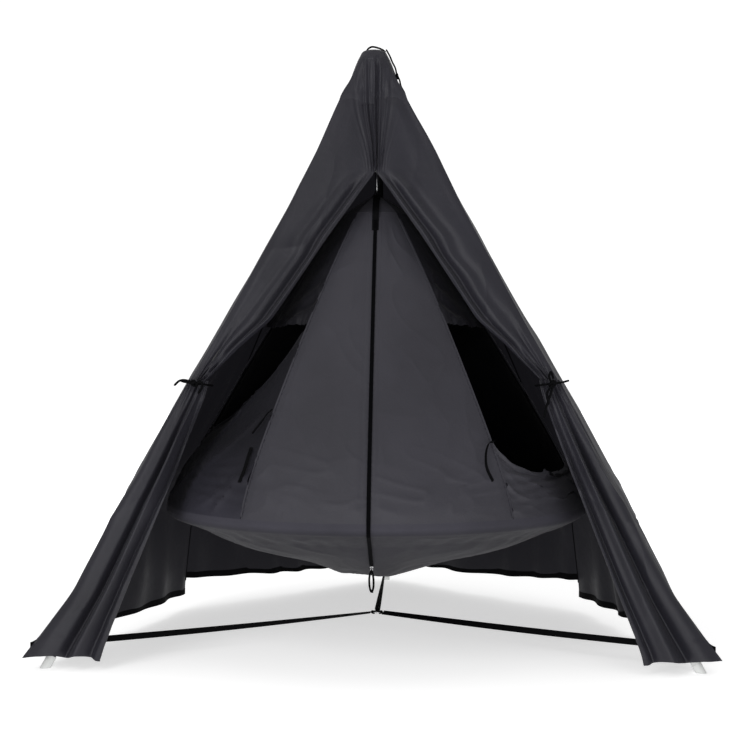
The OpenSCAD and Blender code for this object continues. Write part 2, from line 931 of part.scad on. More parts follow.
// The bowl of cloth under the hoop
module pod_bowl() {
    color("slategray")
        on_axis()
            intersection() {
                translate([0, 0, bowl_middle_z])
                    difference() {
                        sphere(r = bowl_sphere_r, $fn = 200);
                        sphere(r = bowl_sphere_r - bowl_t, $fn = 200);
                    }
                translate([0, 0, hoop_z - bowl_depth - 10])
                    cylinder(r = bowl_edge_r, h = bowl_depth, $fn = 128);
            }
}

// A round pad that lies in the bowl
module mattress() {
    pad_r = hoop_r - 90;
    under_r = bowl_sphere_r - bowl_t - 2;
    color("dimgray")
        on_axis()
            intersection() {
                translate([0, 0, bowl_middle_z])
                    difference() {
                        sphere(r = under_r, $fn = 200);
                        sphere(r = under_r - mattress_t, $fn = 200);
                    }
                translate([0, 0, hoop_z - bowl_depth])
                    cylinder(r = pad_r, h = bowl_depth, $fn = 128);
            }
}

// Ties for the side openings: a strip of webbing each side, and a toggle on the left
module pod_ties() {
    strip_w = 18;
    strip_t = 3;
    strip_len = 150;
    strip_top_z = 880;
    toggle_d = 9;
    toggle_len = 95;
    toggle_top_z = 1035;
    slope = 33;
    beside_seam = front_half_angle + 1;
    color("black")
        on_axis()
            for (side = [-1, 1])
                rotate([0, 0, FRONT + side * beside_seam])
                    translate([pod_r(strip_top_z) + 14, 0, strip_top_z])
                        rotate([0, -slope, 0])
                            translate([0, -strip_w / 2, -strip_len])
                                cube([strip_t, strip_w, strip_len]);
    color("silver")
        on_axis()
            rotate([0, 0, FRONT - beside_seam])
                translate([pod_r(toggle_top_z) + 16, 0, toggle_top_z])
                    rotate([0, -slope, 0])
                        translate([0, 0, -toggle_len])
                            cylinder(d = toggle_d, h = toggle_len, $fn = 32);
}

// Turns children about the bowl's middle to an angle up its front from straight down
module under_bowl(angle) {
    on_axis()
        translate([0, 0, bowl_middle_z])
            rotate([-angle, 0, 0])
                translate([0, 0, -bowl_sphere_r])
                    children();
}

// The zip's tape, down the front and on under the bowl
module zip_tape() {
    half = 6;
    last_z = hoop_z + 25;
    rows = 8;
    front = [
        for (i = [0:rows])
            let (z = crown_z - 30 + (last_z - crown_z + 30) * i / rows)
                [for (off = [-half, half]) polar(pod_r(z) + zip_out, FRONT, z, off)]
    ];
    bowl_edge_angle = asin(bowl_edge_r / bowl_sphere_r);
    bowl_rows = 4;
    function bowl_point(angle, r, x) =
        [x, -r * sin(angle), bowl_middle_z - r * cos(angle)];
    function bowl_grid(r) = [
        for (i = [0:bowl_rows])
            let (angle = bowl_edge_angle + (zip_end_angle - bowl_edge_angle) * i / bowl_rows)
                [bowl_point(angle, r, -half), bowl_point(angle, r, half)]
    ];
    color("black")
        on_axis() {
            sheet(front, grid_inward(front, 2));
            sheet(bowl_grid(bowl_sphere_r + zip_out), bowl_grid(bowl_sphere_r + zip_out - 2));
        }
}

// Distance from the bowl to the slider's eye
pull_drop = 13;

// The slider at the zip's lower end, with an eye for its pull
module zip_slider() {
    body = [14, 20, 4];
    fin = [4, 14, 9];
    body_z = -zip_out - 5.5;
    color("silver")
        under_bowl(zip_end_angle)
            difference() {
                union() {
                    translate([-body[0] / 2, -body[1] / 2, body_z]) cube(body);
                    translate([-fin[0] / 2, -fin[1] / 2, body_z - fin[2] + 0.5]) cube(fin);
                }
                translate([0, 0, -pull_drop]) bar(5, 20, [1, 0, 0]);
            }
}

// The pull: a small metal link and a loop of cord
module zip_pull() {
    link_r = 5;
    link_bar_d = 2.4;
    eye_r = bowl_sphere_r + pull_drop;
    hang = [0, -eye_r * sin(zip_end_angle), bowl_middle_z - eye_r * cos(zip_end_angle)];
    color("silver")
        on_axis()
            translate(hang + [0, 0, -link_r])
                rotate([90, 0, 0])
                    rotate_extrude($fn = 48)
                        translate([link_r, 0]) circle(d = link_bar_d, $fn = 24);
    color("black")
        on_axis()
            translate(hang + [0, 0, -2 * link_r - 3.5])
                cord([[0, 0, 0], [-10, 0, -28], [-6, 0, -92], [6, 0, -92], [8, 0, -28], [0, 0, 0]], 4);
}

hub();
hinge_bolts();
hinge_nuts();
eye_bolt();
eye_nut();
cover_cap();
cap_loop();
cap_cord();
cover_front_left();
cover_front_right();
cover_near_left();
cover_far_left();
cover_far_right();
cover_near_right();
cover_hem();
base_ring();
base_strap(LEFT_LEG);  // base_strap_left
base_strap(RIGHT_LEG);  // base_strap_right
base_strap(BACK_LEG);  // base_strap_back
leg_fork(LEFT_LEG);  // left_leg_fork
upper_tube(LEFT_LEG);  // left_upper_tube
lower_tube(LEFT_LEG);  // left_lower_tube
foot(LEFT_LEG);  // left_foot
strap_keeper(LEFT_LEG);  // left_strap_keeper
leg_fork(RIGHT_LEG);  // right_leg_fork
upper_tube(RIGHT_LEG);  // right_upper_tube
lower_tube(RIGHT_LEG);  // right_lower_tube
foot(RIGHT_LEG);  // right_foot
strap_keeper(RIGHT_LEG);  // right_strap_keeper
leg_fork(BACK_LEG);  // back_leg_fork
upper_tube(BACK_LEG);  // back_upper_tube
lower_tube(BACK_LEG);  // back_lower_tube
foot(BACK_LEG);  // back_foot
strap_keeper(BACK_LEG);  // back_strap_keeper
snap_button(LEFT_LEG);  // left_snap_button
snap_button(RIGHT_LEG);  // right_snap_button
snap_button(BACK_LEG);  // back_snap_button
door_flap_left();
door_flap_right();
door_tie_left();
door_tie_right();
swing_pin();
yoke();
hanging_strap();
swivel_eye();
carabiner();
carabiner_gate();
gate_pin();
pod_crown();
pod_hoop();
pod_front();
pod_sides();
pod_back();
pod_webbing();
pod_bowl();
mattress();
pod_ties();
zip_tape();
zip_slider();
zip_pull();
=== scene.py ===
import json
import math

import bpy
import numpy as np
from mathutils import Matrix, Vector


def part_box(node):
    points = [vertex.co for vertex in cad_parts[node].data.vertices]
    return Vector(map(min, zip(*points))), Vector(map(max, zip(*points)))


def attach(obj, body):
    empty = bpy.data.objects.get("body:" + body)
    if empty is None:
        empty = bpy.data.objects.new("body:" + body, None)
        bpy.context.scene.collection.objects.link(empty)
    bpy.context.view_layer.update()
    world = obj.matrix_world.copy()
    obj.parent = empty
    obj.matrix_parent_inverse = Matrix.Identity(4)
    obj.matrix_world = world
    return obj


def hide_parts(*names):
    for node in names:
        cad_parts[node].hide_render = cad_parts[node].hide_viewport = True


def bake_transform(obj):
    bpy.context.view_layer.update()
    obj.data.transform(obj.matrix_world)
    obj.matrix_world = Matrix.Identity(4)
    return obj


# Looks for the teepee tent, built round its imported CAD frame.
# Metres, +Z up, doorway towards -Y. Azimuths are in degrees from +X, so the doorway faces 270.
# In a grid of points, U runs across a piece and V down it; X, Y and Z are places, and A is an azimuth.

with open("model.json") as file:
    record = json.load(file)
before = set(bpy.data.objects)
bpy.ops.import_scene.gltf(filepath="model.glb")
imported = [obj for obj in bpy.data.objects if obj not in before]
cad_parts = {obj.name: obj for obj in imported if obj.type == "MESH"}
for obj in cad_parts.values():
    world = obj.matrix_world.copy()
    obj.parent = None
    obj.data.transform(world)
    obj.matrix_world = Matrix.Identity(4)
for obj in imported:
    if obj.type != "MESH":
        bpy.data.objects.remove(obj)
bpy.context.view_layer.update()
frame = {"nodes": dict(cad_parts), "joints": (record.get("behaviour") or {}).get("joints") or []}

FRONT = 270
WALL_SEAM_AZIMUTH = 150
LEG_AZIMUTH = {"left": 210, "right": 330, "back": 90}
SIDES = {"left": -1, "right": 1}


# ---- Places, from the frame ----


def middle_of(node):
    """The middle of a CAD node's box."""
    low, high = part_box(node)
    return (low + high) / 2


def joint(name):
    """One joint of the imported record."""
    return next(j for j in frame["joints"] if j["name"] == name)


AXIS_Y = middle_of("base_ring").y
AXIS = np.array([0, AXIS_Y, 0])
ACROSS = np.array([1.0, 0, 0])
UP = np.array([0, 0, 1])

HINGE_Z = joint("leg_back_fold")["pos_m"][2]
HINGE_R = joint("leg_back_fold")["pos_m"][1] - AXIS_Y
LEG_SLOPE = math.tan(math.radians(30))

HOOP_Z = middle_of("pod_hoop").z
HOOP_OUTER_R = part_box("pod_hoop")[1].x
HOOP_TUBE_R = (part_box("pod_hoop")[1].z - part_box("pod_hoop")[0].z) / 2
HOOP_R = HOOP_OUTER_R - HOOP_TUBE_R
POD_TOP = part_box("pod_front")[1].z
POD_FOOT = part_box("pod_front")[0].z
BOWL_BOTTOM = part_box("pod_bowl")[0].z
WALL_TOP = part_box("cover_near_left")[1].z
HEM_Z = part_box("cover_near_left")[0].z
TIE_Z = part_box("cover_front_left")[0].z - 0.012
CAP_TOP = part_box("cover_cap")[1].z
STRAP_Z = middle_of("base_ring").z

# The doorway's top, where the two front panels meet
DOOR_TOP = 2.125

# Thickness of a layer of cloth
CLOTH_T = 0.0025

# The height at which bend_walls works out a wall's corner; nothing uses that corner
BEND_Z = 0.90


# ---- Shapes as grids of points ----


def unit_grid(across, down, crowd=1.0):
    """U (0 to 1 across) and V (0 to 1 down). crowd above 1 puts more columns near U = 1."""
    u = 1 - (1 - np.linspace(0, 1, across + 1)) ** crowd
    v = np.linspace(0, 1, down + 1)
    return np.meshgrid(u, v)


def polar(radius, azimuth, z):
    """Points round the stand's axis. The arguments may be arrays."""
    radius, azimuth, z = np.broadcast_arrays(radius, np.radians(azimuth), z)
    return np.stack([radius * np.cos(azimuth), radius * np.sin(azimuth), z], -1) + AXIS


def smooth_step(x, start, end):
    """0 before start, 1 after end, and smooth between them."""
    t = np.clip((x - start) / (end - start), 0, 1)
    return t * t * (3 - 2 * t)


def bump(x, at, width):
    """A smooth hump of height 1."""
    return np.exp(-(((x - at) / width) ** 2))


def profile(z, heights, values, blur=0.03):
    """A value that changes with height, rounded where it turns. heights go up."""
    steps = np.linspace(-1, 1, 7) * blur
    return sum(np.interp(z + step, heights, values) for step in steps) / len(steps)


def noise(x, y, seed):
    """Smooth noise between -1 and 1, the same at every run."""
    table = np.random.default_rng(seed).uniform(-1, 1, (64, 64))
    x, y = np.broadcast_arrays(np.asarray(x, float), np.asarray(y, float))
    i, j = np.floor(x).astype(int), np.floor(y).astype(int)
    fx, fy = x - i, y - j
    fx, fy = fx * fx * (3 - 2 * fx), fy * fy * (3 - 2 * fy)
    low = table[i % 64, j % 64] * (1 - fx) + table[(i + 1) % 64, j % 64] * fx
    high = table[i % 64, (j + 1) % 64] * (1 - fx) + table[(i + 1) % 64, (j + 1) % 64] * fx
    return low * (1 - fy) + high * fy


def creases(x, y, seed):
    """Noise with sharp ridges, like creased cloth, between 0 and 1."""
    warp = noise(x * 0.7 + 11, y * 0.7 + 5, seed + 1)
    return (1 - np.abs(noise(x + 0.8 * warp, y - 0.6 * warp, seed))) ** 3


def unit(vectors):
    """The vectors at length 1."""
    return vectors / np.maximum(np.linalg.norm(vectors, axis=-1, keepdims=True), 1e-9)


def normals_of(points):
    """Normals on the side that sees the rows run down and the columns run left to right."""
    return unit(np.cross(np.gradient(points, axis=0), np.gradient(points, axis=1)))


def push(points, amount):
    """The grid moved along its normals."""
    return points + normals_of(points) * np.asarray(amount)[..., None]


def shift_top(points):
    """The cover's top sits a little to the left of the stand's axis."""
    shift = -0.014 * smooth_step(points[..., 2], 2.20, 2.50)
    return points + shift[..., None] * ACROSS


def for_side(points, side):
    """A grid made for the left side, mirrored when side is 1."""
    if side < 0:
        return points
    return points[:, ::-1] * np.array([-1, 1, 1])


# ---- Meshes ----


def make_mesh(name, vertices, faces, material):
    """A smooth-shaded mesh object."""
    mesh = bpy.data.meshes.new(name)
    mesh.from_pydata(np.asarray(vertices).tolist(), [], faces)
    mesh.polygons.foreach_set("use_smooth", [True] * len(mesh.polygons))
    mesh.materials.append(material)
    piece = bpy.data.objects.new(name, mesh)
    bpy.context.scene.collection.objects.link(piece)
    return piece


def grid_faces(at, after):
    """Four-sided faces between the rows of vertex numbers at. after holds each number's next in its row."""
    return np.stack([at[:-1], at[1:], after[1:], after[:-1]], -1).reshape(-1, 4)


def lengths_along(points, axis):
    """Distance travelled along one direction of a grid, for the weave."""
    steps = np.linalg.norm(np.diff(points, axis=axis), axis=-1)
    total = np.cumsum(steps, axis=axis)
    return np.concatenate([np.zeros_like(np.take(total, [0], axis=axis)), total], axis=axis)


def cloth(name, points, material, thickness=CLOTH_T, lining=None):
    """A closed sheet of cloth whose outer face is the grid. lining is the inner face's material."""
    rows, cols = points.shape[:2]
    inner = points - normals_of(points) * thickness
    vertices = np.concatenate([points.reshape(-1, 3), inner.reshape(-1, 3)])
    at = np.arange(rows * cols).reshape(rows, cols)
    back = at + rows * cols
    front_faces = grid_faces(at[:, :-1], at[:, 1:])
    back_faces = front_faces[:, ::-1] + rows * cols
    rims = []
    for edge, under in (
        (at[0], back[0]),
        (at[-1, ::-1], back[-1, ::-1]),
        (at[::-1, 0], back[::-1, 0]),
        (at[:, -1], back[:, -1]),
    ):
        rims.append(np.stack([edge[:-1], edge[1:], under[1:], under[:-1]], -1))
    faces = np.concatenate([front_faces, back_faces, *rims])
    piece = make_mesh(name, vertices, faces.tolist(), material)
    mesh = piece.data
    uvs = np.stack([lengths_along(points, 1).ravel(), lengths_along(points, 0).ravel()], -1)
    corners = np.zeros(len(mesh.loops), np.int32)
    mesh.loops.foreach_get("vertex_index", corners)
    weave = np.concatenate([uvs, uvs]).astype(np.float32)[corners]
    mesh.uv_layers.new(name="cloth").data.foreach_set("uv", weave.ravel())
    mesh.set_sharp_from_angle(angle=math.radians(62))
    mesh.validate()
    if lining is not None:
        mesh.materials.append(lining)
        inside = np.zeros(len(faces), np.int32)
        inside[len(front_faces) : 2 * len(front_faces)] = 1
        mesh.polygons.foreach_set("material_index", inside)
    return piece


def curve_through(points, per_span=8):
    """A smooth path through a short list of points."""
    p = np.asarray(points, float)
    p = np.concatenate([[2 * p[0] - p[1]], p, [2 * p[-1] - p[-2]]])
    path = []
    for k in range(1, len(p) - 2):
        t = np.linspace(0, 1, per_span, endpoint=False)[:, None]
        square = 2 * p[k - 1] - 5 * p[k] + 4 * p[k + 1] - p[k + 2]
        cube = 3 * p[k] - p[k - 1] - 3 * p[k + 1] + p[k + 2]
        path.append(0.5 * (2 * p[k] + (p[k + 1] - p[k - 1]) * t + square * t**2 + cube * t**3))
    return np.concatenate([*path, [p[-2]]])


def rope(name, points, radius, material, around=10, per_span=8):
    """A round cord with rounded ends, through a short list of points."""
    path = curve_through(points, per_span)
    along = unit(np.gradient(path, axis=0))
    side = np.zeros_like(along)
    previous = np.array([0.31, 0.17, 0.93])
    for k, direction in enumerate(along):
        previous = previous - direction * (previous @ direction)
        previous = previous / np.linalg.norm(previous)
        side[k] = previous
    other = np.cross(along, side)
    path = np.concatenate([[path[0] - along[0] * radius], path, [path[-1] + along[-1] * radius]])
    side = np.concatenate([[side[0]], side, [side[-1]]])
    other = np.concatenate([[other[0]], other, [other[-1]]])
    size = np.full(len(path), radius)
    size[0] = size[-1] = radius * 0.35
    turn = np.linspace(0, 2 * math.pi, around, endpoint=False)
    ring = np.cos(turn)[None, :, None] * side[:, None] + np.sin(turn)[None, :, None] * other[:, None]
    points = path[:, None] + ring * size[:, None, None]
    at = np.arange(len(path) * around).reshape(len(path), around)
    after = np.roll(at, -1, axis=1)
    faces = grid_faces(at, after)[:, ::-1].tolist()
    faces.append(at[0, ::-1].tolist())
    faces.append(at[-1].tolist())
    return make_mesh(name, points.reshape(-1, 3), faces, material)


def ribbon(name, points, width_directions, width, thickness, material, per_span=8):
    """Flat webbing along a path. width_directions gives its flat direction at each point."""
    path = curve_through(points, per_span)
    wide = unit(curve_through(width_directions, per_span))
    offsets = np.linspace(-width / 2, width / 2, 5)
    grid = path[:, None] + wide[:, None] * offsets[None, :, None]
    grid = grid + normals_of(grid) * thickness / 2
    return cloth(name, grid, material, thickness)


def join(name, pieces):
    """Joins pieces into one object."""
    bpy.ops.object.select_all(action="DESELECT")
    for piece in pieces:
        piece.select_set(True)
    bpy.context.view_layer.objects.active = pieces[0]
    bpy.ops.object.join()
    pieces[0].name = name
    pieces[0].data.name = name
    return pieces[0]


def fit(piece, node=None, body=None):
    """Hides the CAD node that a piece stands for, and attaches the piece to the body that it rides on."""
    if node:
        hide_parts(node)
    if body:
        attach(piece, body)


# ---- Materials ----


class Shader:
    """A node material, with helpers that fill, add and combine its nodes."""

    def __init__(self, name):
        self.material = bpy.data.materials.new(name)
        self.material.use_nodes = True
        self.tree = self.material.node_tree
        self.surface = self.tree.nodes["Principled BSDF"]

    def fill(self, node, **inputs):
        """Sets a node's inputs. A value that is another node's output is linked."""
        for key, value in inputs.items():
            target = node.inputs[key.replace("_", " ")]
            if isinstance(value, bpy.types.NodeSocket):
                self.tree.links.new(value, target)
            else:
                target.default_value = value
        return node

    def add(self, kind, operation=None, **inputs):
        """A new node. Its operation, if it has one, is set first."""
        node = self.tree.nodes.new(kind)
        if operation:
            node.operation = operation
        return self.fill(node, **inputs)

    def spread(self, value, low, high, start=0.0, end=1.0):
        """A value between start and end, mapped to one between low and high."""
        node = self.add("ShaderNodeMapRange", Value=value, From_Min=start, From_Max=end)
        return self.fill(node, To_Min=low, To_Max=high).outputs["Result"]

    def combine(self, operation, first, second):
        """The sum or product of two outputs."""
        node = self.add("ShaderNodeMath", operation)
        self.tree.links.new(first, node.inputs[0])
        self.tree.links.new(second, node.inputs[1])
        return node.outputs["Value"]


def fabric(name, colour, roughness, specular, weave=900, crease=0.25, worn=0.16, painted_glow=0.0, fade=None):
    """Woven cloth: a fine weave, small creases, and uneven colour and shine.

    The glow is painted light: a faint emission that stands in for daylight through the cloth. fade is (low,
    high, share):
    between height high and height low the colour goes from itself to that share of itself, which paints shade
    by height.
    """
    shader = Shader(name)
    place = shader.add("ShaderNodeTexCoord").outputs
    patches = shader.add("ShaderNodeTexNoise", Vector=place["Object"], Scale=2.2, Detail=3.0).outputs["Fac"]
    scale = shader.spread(patches, 1 - worn, 1 + worn, start=0.3, end=0.7)
    # Painted shade by height: the colour scales from the share given in fade up to itself.
    if fade:
        low, high, share = fade
        height = shader.add("ShaderNodeSeparateXYZ", Vector=place["Object"]).outputs["Z"]
        scale = shader.combine("MULTIPLY", scale, shader.spread(height, share, 1, start=low, end=high))
    tint = shader.add("ShaderNodeVectorMath", "SCALE", Vector=colour, Scale=scale)
    threads = []
    for direction in "XY":
        wave = shader.add("ShaderNodeTexWave", Vector=place["UV"], Scale=weave, Distortion=1.5)
        wave.bands_direction = direction
        threads.append(wave.outputs["Fac"])
    threads = shader.combine("ADD", *threads)
    fine = shader.add("ShaderNodeTexNoise", Vector=place["Object"], Scale=26.0, Detail=5.0, Distortion=0.8)
    fine = fine.outputs["Fac"]
    creased = shader.add("ShaderNodeBump", Height=fine, Strength=crease, Distance=0.004).outputs["Normal"]
    woven = shader.add("ShaderNodeBump", Height=threads, Strength=0.2, Distance=0.0003, Normal=creased)
    uneven = 0.08
    shader.fill(
        shader.surface,
        Base_Color=tint.outputs["Vector"],
        Normal=woven.outputs["Normal"],
        Roughness=shader.spread(fine, roughness - uneven, roughness + uneven),
        Sheen_Weight=min(0.03, specular / 5),
        Sheen_Roughness=0.45,
        Specular_IOR_Level=specular,
        # The emission is the painted glow, painted light that stands in for daylight through the cloth.
        Emission_Color=(1.0, 0.97, 1.2, 1.0),
        Emission_Strength=painted_glow,
    )
    return shader.material


def hard(name, colour, roughness, metallic=0.0):
    """Paint, metal or plastic with small scuffs and an uneven shine."""
    wear = 0.08
    shader = Shader(name)
    place = shader.add("ShaderNodeTexCoord").outputs["Object"]
    scuffs = shader.add("ShaderNodeTexNoise", Vector=place, Scale=60.0, Detail=6.0).outputs["Fac"]
    tone = shader.spread(scuffs, 1 - wear, 1 + wear)
    tint = shader.add("ShaderNodeVectorMath", "SCALE", Vector=colour, Scale=tone)
    dents = shader.add("ShaderNodeBump", Height=scuffs, Strength=0.12, Distance=0.0004)
    shader.fill(
        shader.surface,
        Base_Color=tint.outputs["Vector"],
        Roughness=shader.spread(scuffs, max(0.02, roughness - wear), roughness + wear),
        Metallic=metallic,
        Normal=dents.outputs["Normal"],
    )
    return shader.material


COVER = fabric("cover cloth", (0.0172, 0.0166, 0.0222), 0.44, 0.27)
# The lining's faint glow is painted light that stands in for daylight through the cloth.
LINING = fabric("cover lining with painted glow", (0.0070, 0.0068, 0.0088), 0.55, 0.10, painted_glow=0.0052)
POD = fabric("pod cloth", (0.0335, 0.0324, 0.0400), 0.50, 0.20, crease=0.35)
# Painted shade: the bowl cloth darkens to 0.48 of its colour just under the hoop, where the bowl faces down.
BOWL_SHADE_BY_HEIGHT = (HOOP_Z - 0.036, HOOP_Z - 0.004, 0.48)
BOWL = fabric("bowl cloth with painted shade", (0.0385, 0.0372, 0.0470), 0.60, 0.09, crease=0.35, fade=BOWL_SHADE_BY_HEIGHT)
# Painted shade: a darker copy of the pod cloth for the panels above the side openings and the back of the
# crown, where the cover shades the pod.
POD_PAINTED_SHADE = fabric("pod cloth in painted shade", (0.0078, 0.0075, 0.0100), 0.50, 0.12, crease=0.35)
# Painted shade: the left curtain is a darker copy of the pod cloth. It is darkest at its top, where it hangs
# inward out of the light, and lighter towards the hoop.
CURTAIN_SHADE_BY_HEIGHT = (HOOP_Z, HOOP_Z + 0.32, 3.2)
CURTAIN_PAINTED_SHADE = fabric("curtain cloth with painted shade", (0.0080, 0.0077, 0.0104), 0.50, 0.10, crease=0.35, fade=CURTAIN_SHADE_BY_HEIGHT)
POD_INSIDE = fabric("pod inner cloth", (0.0040, 0.0039, 0.0052), 0.60, 0.08)
PAD = fabric("pad cloth", (0.035, 0.035, 0.04), 0.7, 0.3)
WEBBING = fabric("webbing", (0.0036, 0.0036, 0.0040), 0.75, 0.012, weave=260, crease=0.1)
BINDING = fabric("hem binding", (0.004, 0.004, 0.0045), 0.70, 0.015, weave=400)
CORD = fabric("cord", (0.0030, 0.0030, 0.0034), 0.7, 0.015, weave=300)
ZIP = fabric("zip tape", (0.002, 0.002, 0.0024), 0.70, 0.012, weave=500)
PAINT = hard("black paint", (0.010, 0.010, 0.011), 0.42)
ZINC = hard("zinc plate", (0.62, 0.62, 0.63), 0.3, metallic=1.0)
PLASTIC = hard("pale plastic", (0.72, 0.73, 0.72), 0.45)


# ---- Cover ----

# How far the cover's corner stands outside the middle of the leg's tube, by height
CORNER_HEIGHTS = [0.04, 0.12, 0.30, 0.82, 1.06, 1.25, 1.44, 1.98, 2.30, 2.50]
CORNER_STAND_OFF = [0.128, 0.105, 0.064, 0.058, 0.060, 0.050, 0.040, 0.035, 0.052, 0.060]


def leg_radius(z):
    """Distance from the stand's axis to the middle of a leg's tube."""
    return HINGE_R + (HINGE_Z - z) * LEG_SLOPE


def corner_radius(z):
    """Distance from the stand's axis to the cover's corner at a leg."""
    return leg_radius(z) + profile(z, CORNER_HEIGHTS, CORNER_STAND_OFF)


def seam_radius(z):
    """Radius of the seam in the middle of each wall, which bulges round the pod's hoop."""
    return profile(z, [HEM_Z, 0.62, WALL_TOP], [1.17, 1.10, 0.112], blur=0.10)


def wall_points(side, leg, seed):
    """A wall from the seam at the middle of its side (U = 0) to a leg (U = 1)."""
    U, V = unit_grid(90, 150)
    near = leg != "back"
    hem = HEM_Z + 0.006 * noise(U * 7, 0, seed)
    if not near:
        hem = hem + 0.030 + 0.05 * (1 - U) ** 2
    Z = WALL_TOP + (hem - WALL_TOP) * V
    seam = polar(seam_radius(Z), WALL_SEAM_AZIMUTH, Z)
    corner = polar(corner_radius(Z), LEG_AZIMUTH["left" if near else "back"], Z)
    chord = seam + (corner - seam) * U[..., None]
    bulge_azimuth = math.radians(182 if near else 118)
    away = np.array([math.cos(bulge_azimuth), math.sin(bulge_azimuth), 0])
    swell = profile(Z, [HEM_Z, 0.62, WALL_TOP], [-0.025, 0.10 if near else 0.12, 0.002], blur=0.12)
    points = chord + away * (swell * 4 * U * (1 - U))[..., None]
    if not near:
        points, U, Z = points[:, ::-1], U[:, ::-1], Z[:, ::-1]
    width = 0.15 + 1.2 * V
    folds = 0.010 * V**1.5 * np.sin(2 * math.pi * (5.2 * U + 0.5 * noise(U * 3, V * 2, seed)))
    drape = 0.010 * smooth_step(V, 0.72, 1.0) * noise(U * 13, V * 2.5, seed + 2)
    tension = 0.009 * smooth_step(V, 0.05, 0.5) * creases(U * 2.6 + V * 1.2, V * 5 - U * 2, seed + 3)
    near_seam = 0.008 * bump(U * width, 0.05, 0.05) * noise(3 + U * width * 20, V * 16, seed + 4)
    hoop_band = 0.005 * bump(Z, 0.66, 0.12) * creases(U * 4, Z * 22, seed + 5)
    lift = 0.004 * noise(U * 4, V * 5, seed + 6)
    hold = smooth_step(1 - U, 0.0, 0.06) * smooth_step(U, 0.0, 0.04)
    fade = smooth_step(V, 0.0, 0.08)
    points = push(points, (folds + drape + tension + near_seam + hoop_band + lift) * hold * fade)
    return shift_top(for_side(points, side))


def hem_points(wall):
    """Binding folded over the last row of a wall, 34 mm high."""
    out = normals_of(wall)[-1]
    heights = np.array([0.020, 0.019, 0.007, -0.006, -0.013, -0.014])
    proud = np.array([0.0008, 0.0018, 0.0020, 0.0020, 0.0016, 0.0006])
    return np.array([wall[-1] + out * p + UP * h for h, p in zip(heights, proud)])


def build_walls():
    """The four walls, two on each side, and the binding on their hems."""
    for side_name, side in SIDES.items():
        for leg in (side_name, "back"):
            place = "near" if leg == side_name else "far"
            seed = 20 + 7 * (side + 1) + (0 if place == "near" else 3)
            points = wall_points(side, leg, seed)
            wall = cloth(f"wall_{place}_{side_name}", points, COVER, lining=LINING)
            hem = cloth(f"hem_{place}_{side_name}", hem_points(points), BINDING, 0.0062)
            fit(wall, f"cover_{place}_{side_name}")
            fit(hem, "cover_hem")
            bend_walls(wall, leg)
            bend_walls(hem, leg)


def build_wall_seams():
    """A bound seam between the two walls of each side."""
    z = np.linspace(WALL_TOP - 0.002, HEM_Z + 0.055, 120)[:, None]
    middle = polar(seam_radius(z), WALL_SEAM_AZIMUTH, z)
    turn = math.radians(WALL_SEAM_AZIMUTH)
    across = np.array([-math.sin(turn), math.cos(turn), 0])
    grid = middle - across * np.linspace(-0.004, 0.004, 5)[None, :, None]
    for side_name, side in SIDES.items():
        points = shift_top(for_side(push(grid[:, ::-1], 0.0016 + 0 * grid[..., 0]), side))
        seam = cloth(f"wall_seam_{side_name}", points, BINDING, 0.0056)
        fit(seam, body="head")


def bend_walls(piece, leg):
    """Bakes a wall piece's transform. It also works out the wall's seam line and the way across to its
    corner, which nothing uses.
    """
    seam_low = polar(seam_radius(HEM_Z), WALL_SEAM_AZIMUTH, HEM_Z)
    seam_high = polar(seam_radius(WALL_TOP), WALL_SEAM_AZIMUTH, WALL_TOP)
    corner = polar(corner_radius(BEND_Z), LEG_AZIMUTH["back" if leg == "back" else "left"], BEND_Z)
    along = unit(seam_high - seam_low)
    across = corner - seam_low
    across = across - along * (across @ along)
    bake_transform(piece)


# The door's edge: its distance from the middle at heights from the tie to the door's top
DOOR_HEIGHTS = [1.161, 1.334, 1.445, 1.831, 1.97, DOOR_TOP]
DOOR_EDGE = [0.742, 0.575, 0.452, 0.206, 0.108, 0.001]


def front_y(z):
    """The front panels' plane, just in front of the legs' tubes."""
    return -0.5 * leg_radius(z) - 0.029


